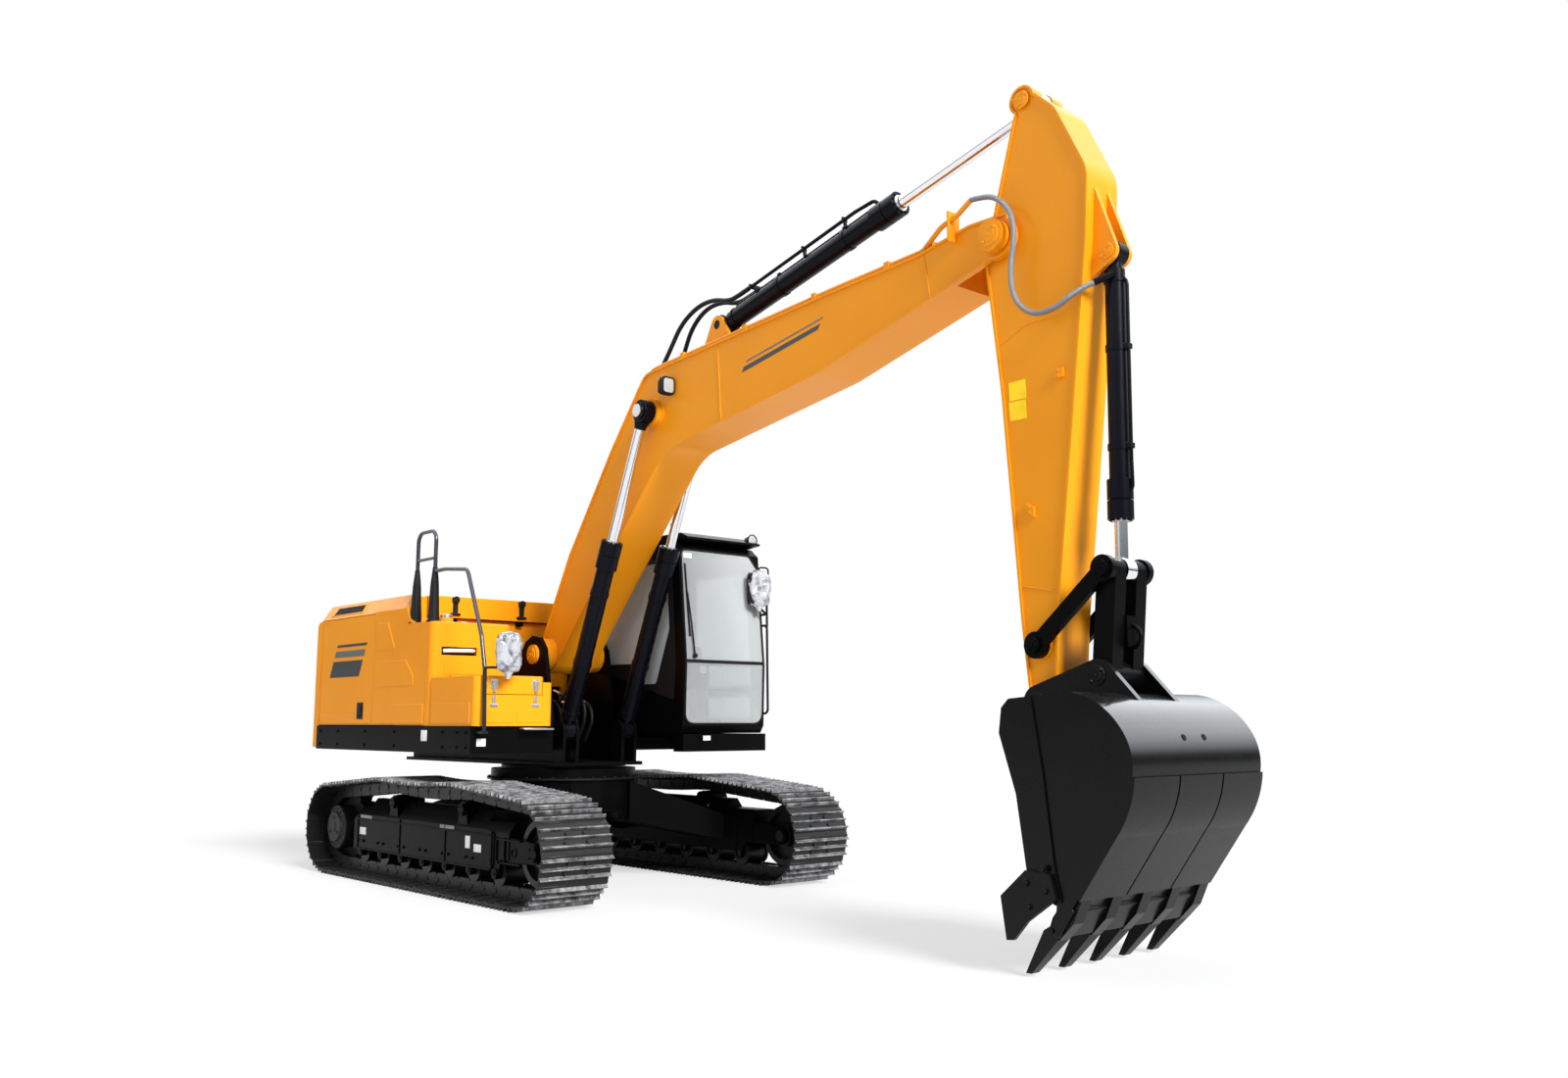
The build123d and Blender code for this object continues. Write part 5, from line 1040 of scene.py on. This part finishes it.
def pillow(rows, half, powers, shaped):
    """Rings of a rounded block; shaped(point, height, row's share, angle) moves each point."""
    rings, columns = [], 96
    for row in range(rows + 1):
        spread, height = superellipse(math.pi * (row / rows - 0.5), powers[0])
        ring = []
        for column in range(columns):
            a = 2 * math.pi * column / columns
            x, y = superellipse(a, powers[1])
            p = Vector((x * spread * half[0], y * spread * half[1], height * half[2]))
            ring.append(shaped(p, height, row / rows, a))
        rings.append(ring)
    return rings


def wrapped(name, centre, turn, half, seed):
    """Film drawn round a mirror's housing and gathered at its foot."""
    shift = Vector((seed * 3.1, seed * 1.7, seed * 2.3))
    turning = Matrix.Rotation(math.radians(turn), 3, "Z")

    def crumpled(p, height, u, a):
        gather = max(0.0, (0.16 - u) / 0.16)
        if gather:
            waist = Vector((0.016 * math.cos(a), 0.016 * math.sin(a), p.z - 0.055 * gather))
            p = p.lerp(waist, gather ** 0.7)
        out = Vector((p.x / half[0], p.y / half[1], 0.6 * p.z / half[2]))
        out = out.normalized() if out.length else Z
        folds = 1 - abs(noise.noise(Vector((p.x * 17, p.y * 17, p.z * 9)) + shift))
        folds += 0.5 * (1 - abs(noise.noise(Vector((p.x * 44, p.y * 44, p.z * 23)) - shift)))
        folds += 0.25 * (1 - abs(noise.noise(Vector((p.x * 90, p.y * 90, p.z * 60)) + shift * 2)))
        return Vector(centre) + turning @ (p + out * 0.020 * (folds - 0.9) * (1 - 0.7 * gather))

    Shape().loft(pillow(70, half, (0.55, 0.62), crumpled)).done(name, film, "house", angle=50)


LOOP = ((1.222, 2.490), (1.335, 2.490), (1.335, 2.755), (1.222, 2.755))
ring = [Vector((1.262, *p)) for p in rounded_polygon(LOOP, 0.035)]
loop = Shape().sweep(ring + ring[:1], 0.008, 10)
loop.tube([(1.276, 1.310, 2.215), (1.262, 1.318, 2.470), (1.190, 1.318, 2.480)], 0.011, 12, 0.04)
loop.tube([(1.190, 1.310, 2.620), (1.262, 1.330, 2.620)], 0.009, 10)
loop.done("cab_mirror_loop", trim_plastic, "house")
wrapped("right_mirror_film", (0.973, -1.144, 1.913), 12, (0.046, 0.108, 0.155), 1)
wrapped("left_mirror_film", (1.265, 1.225, 2.560), -10, (0.044, 0.100, 0.155), 2)

# --------------------------------------------------------------------- seat

SEAT_X, SEAT_Y = 0.12, (CAB_IN + CAB_OUT) / 2 + 0.01


def bell(value, middle, width):
    """A smooth bump of height 1."""
    return math.exp(-((value - middle) / width) ** 2)


def cushion(name, centre, half, lean, crown, seams, seed):
    """A padded panel: rounded, crowned on its face, with pulled seams and a welt round its edge."""
    turning = Matrix.Rotation(math.radians(lean), 3, "Y")

    def padded(p, height, _, __):
        share_x, share_y = p.x / half[0], p.y / half[1]
        if height > 0.5:
            p.z += crown * (1 - share_x ** 2) * (1 - share_y ** 2)
            for seam in seams:
                p.z -= 0.014 * bell(share_y, seam, 0.045) * (1 - share_x ** 6)
                p.z -= 0.004 * noise.noise(Vector((p.x * 22, p.y * 8, seed))) * bell(share_y, seam, 0.20)
        welt = bell(height, 0.30, 0.07)
        p.x += math.copysign(0.006, p.x) * welt * abs(share_x) ** 3
        p.y += math.copysign(0.006, p.y) * welt * abs(share_y) ** 3
        p.z += 0.003 * noise.noise(p * 9 + seed * X)
        return Vector((SEAT_X + centre[0], SEAT_Y, centre[1])) + turning @ p

    rings = pillow(48, half, (0.30, 0.34), padded)
    piece = Shape().loft(rings).done(f"{name}_cushion", fabric, "house", angle=60)
    return piece


SEAMS = (-0.55, 0.55)
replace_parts(cushion("seat_base", (0.010, 1.635), (0.250, 0.240, 0.060), 0, 0.020, SEAMS, 3), "seat")
cushion("seat_back", (-0.222, 1.985), (0.300, 0.225, 0.055), 80, 0.018, SEAMS, 5)
cushion("seat_head", (-0.292, 2.418), (0.082, 0.125, 0.040), 83, 0.012, (), 7)
seat_frame = Shape()
for half_x, half_y, low, high in (
    (0.20, 0.18, 1.311, 1.345), *((0.17, 0.15, 1.355 + 0.030 * i, 1.371 + 0.030 * i) for i in range(6)),
    (0.155, 0.135, 1.34, 1.54), (0.22, 0.20, 1.535, 1.585),
):
    seat_frame.box((SEAT_X - half_x, SEAT_X + half_x), (SEAT_Y - half_y, SEAT_Y + half_y), (low, high))
for sign in (-1, 1):
    bracket = ((SEAT_X - 0.18, 1.56), (SEAT_X - 0.08, 1.56), (SEAT_X - 0.15, 1.74), (SEAT_X - 0.19, 1.74))
    seat_frame.side(bracket, *span(SEAT_Y, sign, 0.236, 0.250))
    y = SEAT_Y + sign * 0.05
    seat_frame.rod((SEAT_X - 0.302, y, 2.20), (SEAT_X - 0.312, y, 2.37), 0.008, 12)
seat_frame.done("seat_frame", trim_plastic, "house", bevel=0.006)

# ---------------------------------------------------------------- cylinders


def along(start, end):
    """A unit vector from one (x, z) to another, and the one across it, upward."""
    run = Vector((end[0] - start[0], 0, end[1] - start[1])).normalized()
    return run, Vector((-run.z, 0, run.x))


def strap(shape, foot, reach, width, rise):
    """A clamp's plate across a cylinder: its foot, half width, height and thickness along the cylinder."""
    right, left = foot - Y * width, foot + Y * width
    shape.prism([right, left, left + rise, right + rise], reach)


def cylinder_trim(name, body, start, end, y, gland, radius, gland_radius, rod_radius):
    """Gland bolts, a wiper ring, a weld bead, straps and the steel line along a barrel."""
    run, up = along(start, end)
    foot = Vector((start[0], y, start[1]))
    bolt_circle = (gland_radius + rod_radius) / 2
    black = Shape().bolts(foot + run * gland, run, bolt_circle, 10, 0.009, across=up, other=Y)
    black.ring(foot + run * (gland - 0.112), run, radius + 0.005, 0.010, 0.014)
    black.ring(foot + run * (gland - 0.236), run, gland_radius, gland_radius - radius + 0.004, 0.118)
    black.ring(foot + run * 0.165, run, radius + 0.007, 0.012, 0.018)
    for share in (0.35, 0.72):
        at = foot + run * gland * share
        black.ring(at, run, radius + 0.006, 0.008, 0.040)
        strap(black, at + up * (radius + 0.004) + run * 0.004, run * 0.032, 0.022, up * 0.030)
    black.tube([foot + run * reach + up * lift for reach, lift in (
        (0.150, radius - 0.010), (0.190, radius + 0.022), (gland - 0.34, radius + 0.022),
        (gland - 0.180, gland_radius + 0.010), (gland - 0.150, gland_radius - 0.020),
    )], 0.011, 12, 0.06)
    black.done(f"{name}_fittings", cylinder_paint, body, bevel=0.0015, segments=1)
    seal = Shape().ring(foot + run * (gland - 0.002), run, rod_radius + 0.014, 0.013, 0.010)
    seal.done(f"{name}_wiper", zinc, body)


LIFT_FOOT, LIFT_EYE, LIFT_Y = (0.500, 1.290), (1.590, 3.900), 0.3
CROWD_FOOT, CROWD_EYE = (2.270, 4.530), (5.430, 5.240)
CURL_FOOT, CURL_EYE = (5.970, 4.120), (5.945, 2.225)
for side, sign in SIDES:
    lift_sizes = (sign * LIFT_Y, 1.70, 0.075, 0.092, 0.042)
    cylinder_trim(f"boom_cylinder_{side}", "boom_cylinder_barrels", LIFT_FOOT, LIFT_EYE, *lift_sizes)
for name, foot, eye, sizes in (
    ("arm_cylinder", CROWD_FOOT, CROWD_EYE, (2.01, 0.075, 0.092, 0.047)),
    ("bucket_cylinder", CURL_FOOT, CURL_EYE, (1.60, 0.060, 0.076, 0.037)),
):
    cylinder_trim(name, f"{name}_barrel", foot, eye, 0.0, *sizes)

# --------------------------------------------------------------------- boom

BOOM_SIDE, ARM_SIDE, ARM_EDGE, CURL_EARS = 0.190, 0.140, 0.155, 0.081


def weld(name, points, radius, body):
    """A rippled weld bead along a polyline."""
    path = []
    for a, b in zip(points, points[1:]):
        a, b = Vector(a), Vector(b)
        count = max(2, int((b - a).length / 0.012))
        path += [a.lerp(b, i / count) for i in range(count)]
    shape = Shape().sweep(path + [Vector(points[-1])], radius, 8, 0.16)
    shape.done(name, yellow_paint, body, angle=60)


def caps(name, material, body, pins):
    """Pin ends on both sides; each is x, z, distance from the middle and radius."""
    shape = Shape()
    for sign in (-1, 1):
        for x, z, y, radius in pins:
            shape.pin_cap(x, z, sign * y, sign, radius)
    shape.done(name, material, body, bevel=0.002)


caps("boom_pin_caps", yellow_paint, "boom", ((5.240, 4.380, 0.270, 0.075), (0.020, 1.960, 0.3755, 0.062)))

# the lift cylinders' rod eyes, painted like their barrels
EYE_IN, EYE_OUT = 0.2535, 0.3475
eyes = Shape()
run, _ = along(LIFT_FOOT, LIFT_EYE)
for sign in (-1, 1):
    eyes.ring((LIFT_EYE[0], sign * EYE_IN, LIFT_EYE[1]), sign * Y, 0.096, 0.046, EYE_OUT - EYE_IN)
    eyes.pin_cap(*LIFT_EYE, sign * EYE_OUT, sign, 0.070)
    neck = Vector((LIFT_EYE[0], sign * LIFT_Y, LIFT_EYE[1]))
    eyes.rod(neck - run * 0.150, neck - run * 0.085, 0.047, 24, 0.062)
eyes.done("boom_cylinder_eyes", cylinder_paint, "boom_cylinder_rods", bevel=0.003)

# generic band along the boom's sides, where such machines carry their names
BAND = ((2.72, 4.02), (3.58, 4.165), (3.61, 4.205), (2.75, 4.062))
LINE = ((2.77, 4.092), (3.63, 4.235), (3.64, 4.249), (2.78, 4.107))
for side, sign in SIDES[::-1]:
    for name, outline, material in (("band", BAND, accent_dark), ("line", LINE, accent_grey)):
        shape = Shape().side(outline, *span(sign * BOOM_SIDE, sign, -0.001, 0.002))
        shape.done(f"boom_{name}_{side}", material, "boom")

LAMP = Vector((1.835, -0.262, 4.075))
LAMP_HALF_Y, LAMP_HALF_Z, LAMP_ROUND = 0.0625, 0.075, 0.030


def lamp_face(x, scale=1.0):
    """The boom lamp's outline, a rounded rectangle, at a distance forward."""
    ring = []
    for turn, (u, v) in enumerate(((1, 1), (-1, 1), (-1, -1), (1, -1))):
        for i in range(7):
            a = math.radians(90 * turn + 15 * i)
            y = u * (LAMP_HALF_Y - LAMP_ROUND) + LAMP_ROUND * math.cos(a)
            z = v * (LAMP_HALF_Z - LAMP_ROUND) + LAMP_ROUND * math.sin(a)
            ring.append(LAMP + Vector((x, scale * y, scale * z)))
    return ring


lamp = Shape().prism(lamp_face(0.038), -0.050 * X).prism(lamp_face(-0.010, 0.8), -0.035 * X)
lamp.box((1.800, 1.850), (-0.266, -0.186), (4.063, 4.087))
lamp.box((1.790, 1.860), (-0.204, -0.189), (4.030, 4.120))
lamp.done("boom_lamp_housing", trim_plastic, "boom", bevel=0.004)
Shape().prism(lamp_face(0.036, 0.78), 0.007 * X).done("boom_lamp_lens", lens_glass, "boom", bevel=0.004)

BOSS_RADIUS = 0.119
for side, sign in SIDES[::-1]:
    y = sign * (BOOM_SIDE + 0.001)
    weld(f"boom_splice_{side}", [(2.42, y, 4.300), (2.47, y, 3.700)], 0.006, "boom")
    weld(f"boom_tip_splice_{side}", [(4.62, y, 4.430), (4.67, y, 4.130)], 0.006, "boom")
    boss = circle(Vector((LIFT_EYE[0], y, LIFT_EYE[1])), X, Z, BOSS_RADIUS, 48)
    weld(f"boom_boss_weld_{side}", boss + boss[:1], 0.007, "boom")

# hoses from the boom's pipes to the arm cylinder, along its barrel and into its gland
run, above = along(CROWD_FOOT, CROWD_EYE)
crowd = Vector((CROWD_FOOT[0], 0, CROWD_FOOT[1]))
LINE_LIFT, LINE_Y = 0.135, 0.045


def by_barrel(reach, lift, y=0.0):
    """A point by the arm cylinder: along it, above it and to its side."""
    return crowd + run * reach + above * lift + Y * y


for number, y in enumerate((-LINE_Y, LINE_Y)):
    hose = Shape().sweep(spline_points([
        (1.560, math.copysign(0.088, y), 4.345), (1.640, y * 1.6, 4.470), (1.760, y * 1.3, 4.650),
        (1.960, y, 4.760), (2.180, y, 4.770), (2.380, y, 4.705),
        by_barrel(0.30, LINE_LIFT, y), by_barrel(0.40, LINE_LIFT, y),
    ]), 0.019, 14)
    piece = hose.done(f"boom_hose_{number}", rubber, None)
    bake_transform(piece)
steel = Shape().tube([
    by_barrel(0.36, LINE_LIFT, LINE_Y), by_barrel(0.47, LINE_LIFT, LINE_Y), by_barrel(0.50, 0.060, LINE_Y),
], 0.014, 14, 0.04)
steel.tube([
    by_barrel(0.36, LINE_LIFT, -LINE_Y), by_barrel(1.62, LINE_LIFT, -LINE_Y),
    by_barrel(1.80, LINE_LIFT, -LINE_Y * 0.5), by_barrel(1.85, 0.070, -LINE_Y * 0.3),
], 0.014, 14, 0.05)
for reach, low, high in ((0.42, -0.066, 0.066), (1.05, -0.066, -0.022), (1.50, -0.066, -0.022)):
    middle, half = (low + high) / 2, (high - low) / 2
    strap(steel, by_barrel(reach, 0.066, middle), run * 0.018, 0.013, above * 0.060)
    strap(steel, by_barrel(reach, LINE_LIFT - 0.018, middle), run * 0.018, half, above * 0.036)
steel.done("arm_cylinder_lines", cylinder_paint, "arm_cylinder_barrel", bevel=0.002)

# hoses and valve fittings in front of the boom's foot: y, height at the valve and at the deck
fittings, foot_hoses = Shape(), Shape()
for y, z, drop in (
    (-0.19, 1.56, 1.20), (-0.11, 1.62, 1.22), (-0.02, 1.52, 1.19), (0.07, 1.60, 1.21), (0.15, 1.55, 1.20),
):
    fittings.rod((-0.02, y, z + 0.02), (0.06, y, z), 0.017, 6)
    fittings.rod((0.05, y, z), (0.13, y, z - 0.02), 0.013, 16)
    foot_hoses.sweep(spline_points([
        (0.11, y, z - 0.015), (0.19, y, z - 0.05), (0.23, y * 0.95, z - 0.16), (0.21, y * 0.9, drop + 0.12),
        (0.12, y * 0.9, drop),
    ]), 0.016, 12)
fittings.done("foot_hose_fittings", zinc, "house", bevel=0.001, segments=1)
foot_hoses.done("foot_hoses", rubber, "house")

# ---------------------------------------------------------------------- arm

for side, sign in SIDES[::-1]:
    y = sign * (ARM_SIDE + 0.001)
    weld(f"arm_splice_{side}", [(5.215, y, 3.700), (5.420, y, 3.790), (5.830, y, 3.800)], 0.005, "arm")
    weld(f"arm_tip_splice_{side}", [(5.345, y, 2.170), (5.600, y, 2.120)], 0.005, "arm")
caps("arm_pin_caps", yellow_paint, "arm", ((*CROWD_EYE, ARM_EDGE, 0.058), (*CURL_FOOT, CURL_EARS, 0.050)))

lugs = Shape()
for x, z, turn in ((5.656, 3.427, 0.0), (5.418, 2.627, 0.5)):
    c, s = 0.034 * math.cos(turn), 0.034 * math.sin(turn)
    outline = ((x - c, z - 0.03 + s), (x + c, z - 0.03 - s), (x + c, z + 0.03 - s), (x - c, z + 0.03 + s))
    lugs.side(outline, -ARM_SIDE - 0.022, -ARM_SIDE + 0.002)
    for dz in (-0.016, 0.016):
        lugs.bolt((x, -ARM_SIDE - 0.022, z + dz), -Y, 0.008)
lugs.done("arm_lugs", yellow_paint, "arm", bevel=0.002)
arm_plates = Shape()
for low, high in ((3.200, 3.318), (3.326, 3.444)):
    for sign in (-1, 1):
        outline = ((5.272, low), (5.398, low), (5.392, high), (5.266, high))
        arm_plates.side(outline, *span(sign * ARM_SIDE, sign, -0.001, 0.003))
arm_plates.done("arm_blank_plates", amber_plate, "arm")
nipples = Shape()
for sign in (-1, 1):
    for x, z in ((5.505, 1.905), (5.515, 1.560)):
        nipples.stub(x, z, sign * ARM_EDGE, sign, 0, 0.004, 0.014, 16)
        nipples.stub(x, z, sign * ARM_EDGE, sign, 0.004, 0.018, 0.006, 10)
nipples.done("arm_grease_nipples", zinc, "arm")

# ------------------------------------------------------- linkage and bucket

ROCKER_PIN, LINK_PIN, BUCKET_PIN, H_PIN = (5.460, 1.810), (5.945, 2.225), (5.470, 1.470), (5.890, 1.620)
caps("rocker_pin_caps", black_paint, "rocker_links", (
    (*ROCKER_PIN, 0.2175, 0.044), (*LINK_PIN, 0.2225, 0.052),
))
hook = Shape().sweep(spline_points([
    (5.925, 0.0, 1.935), (6.020, 0.0, 1.905), (6.062, 0.0, 1.850), (6.040, 0.0, 1.790), (5.985, 0.0, 1.775),
    (5.950, 0.0, 1.800),
]), 0.013, 14).box((5.905, 5.955), (-0.030, 0.030), (1.900, 1.965))
hook.done("lifting_hook", black_paint, "h_link", bevel=0.003)

# lip between the tooth adapters, and the cast caps of the teeth: x, z and half width
LIP_PLATE = ((5.990, 0.394), (6.000, 0.374), (5.900, 0.230), (5.872, 0.238), (5.893, 0.402))
TOOTH = (
    (5.918, 0.333, 0.058), (5.798, 0.262, 0.058), (5.652, 0.0185, 0.034), (5.692, 0.0185, 0.034),
    (5.883, 0.213, 0.057),
)
TOOTH_PITCH, LIP_HALF, CUTTER_OUT, EAR_OUT = 0.285, 0.634, 0.671, 0.201
TOOTH_YS = [TOOTH_PITCH * (i - 2) for i in range(5)]
Shape().side(LIP_PLATE, -LIP_HALF, LIP_HALF).done("bucket_lip_plate", bucket_paint, "bucket", bevel=0.004)
teeth, bolts, plugs = Shape(), Shape(), Shape()
for y in TOOTH_YS:
    teeth.loft([[(x, y + sign * half, z) for x, z, half in TOOTH] for sign in (-1, 1)])
teeth.done("bucket_tooth_caps", bucket_paint, "bucket", bevel=0.004)
for sign in (-1, 1):
    for x, z in ((5.839, 0.585), (5.725, 0.502), (5.850, 0.470), (5.740, 0.380)):
        bolts.bolt((x, sign * CUTTER_OUT, z), sign * Y, 0.017)
    for pin, radius in ((BUCKET_PIN, 0.062), (H_PIN, 0.058)):
        bolts.pin_cap(*pin, sign * EAR_OUT, sign, radius)
    for y in TOOTH_YS:
        bolts.stub(5.850, 0.262, y, sign, 0.031, 0.064, 0.014, 16)
bolts.done("bucket_bolts", bucket_paint, "bucket", bevel=0.0015, segments=1)
for y in (-0.100, 0.100):
    plugs.rod((6.350, y, 1.2725), (6.3645, y, 1.2797), 0.019, 20)
plugs.done("bucket_back_plugs", black_paint, "bucket", bevel=0.001, segments=1)

# --------------------------------------------------- floor, world and lamps

FLOOR_SIZE, FADE_REACH = 160, 20.0
bpy.ops.mesh.primitive_plane_add(size=FLOOR_SIZE)
floor = bpy.context.object
floor.name = "floor"
n = Nodes("pale_floor")
n.set(Base_Color=(0.86, 0.86, 0.86, 1), Roughness=0.9, Specular_IOR_Level=0.0)
# near the object the camera sees the floor with its shadow, and further out a white backdrop
distance = n.add("ShaderNodeVectorMath", operation="LENGTH", Vector=n.place).outputs["Value"]
fade = n.ramp(n.maths("DIVIDE", distance, FADE_REACH), (0.30, 0.62), (0.50, 1.0))
seen = n.add("ShaderNodeLightPath").outputs["Is Camera Ray"]
glow = n.add("ShaderNodeEmission", Color=(1, 1, 1, 1), Strength=1.0)
n.blend(n.maths("MULTIPLY", seen, fade), n.shader, glow)
floor.data.materials.append(n.owner)

sky = Nodes("studio", bpy.data.worlds, "Background", "World Output")
scene.world = sky.owner
overhead = sky.add("ShaderNodeMapRange", interpolation_type="SMOOTHSTEP", Value=sky.axis("Z", sky.direction))
for name, value in (("From Min", 0.04), ("From Max", 0.50), ("To Min", 0.10), ("To Max", 2.3)):
    overhead.inputs[name].default_value = value
rays = sky.add("ShaderNodeLightPath").outputs
# mirrored rays see a bright box overhead and a dim horizon; the rest see even light
strength = sky.add("ShaderNodeMix", Factor=rays["Is Glossy Ray"], A=0.42, B=overhead.outputs["Result"])
sky.set(Color=(0.93, 0.96, 1.0, 1), Strength=strength.outputs["Result"])
white = sky.add("ShaderNodeBackground", Color=(1, 1, 1, 1))
sky.blend(sky.maths("MAXIMUM", rays["Is Camera Ray"], rays["Is Transmission Ray"]), sky.shader, white)

SUNS = (("key", (-0.84, 0.07, -0.52), 5.0, 22), ("fill", (0.25, 0.85, -0.35), 0.20, 50))
for name, direction, energy, angle in SUNS:
    sun = bpy.data.lights.new(name, "SUN")
    sun.energy, sun.angle = energy, math.radians(angle)
    placed(name, sun, aim=direction)
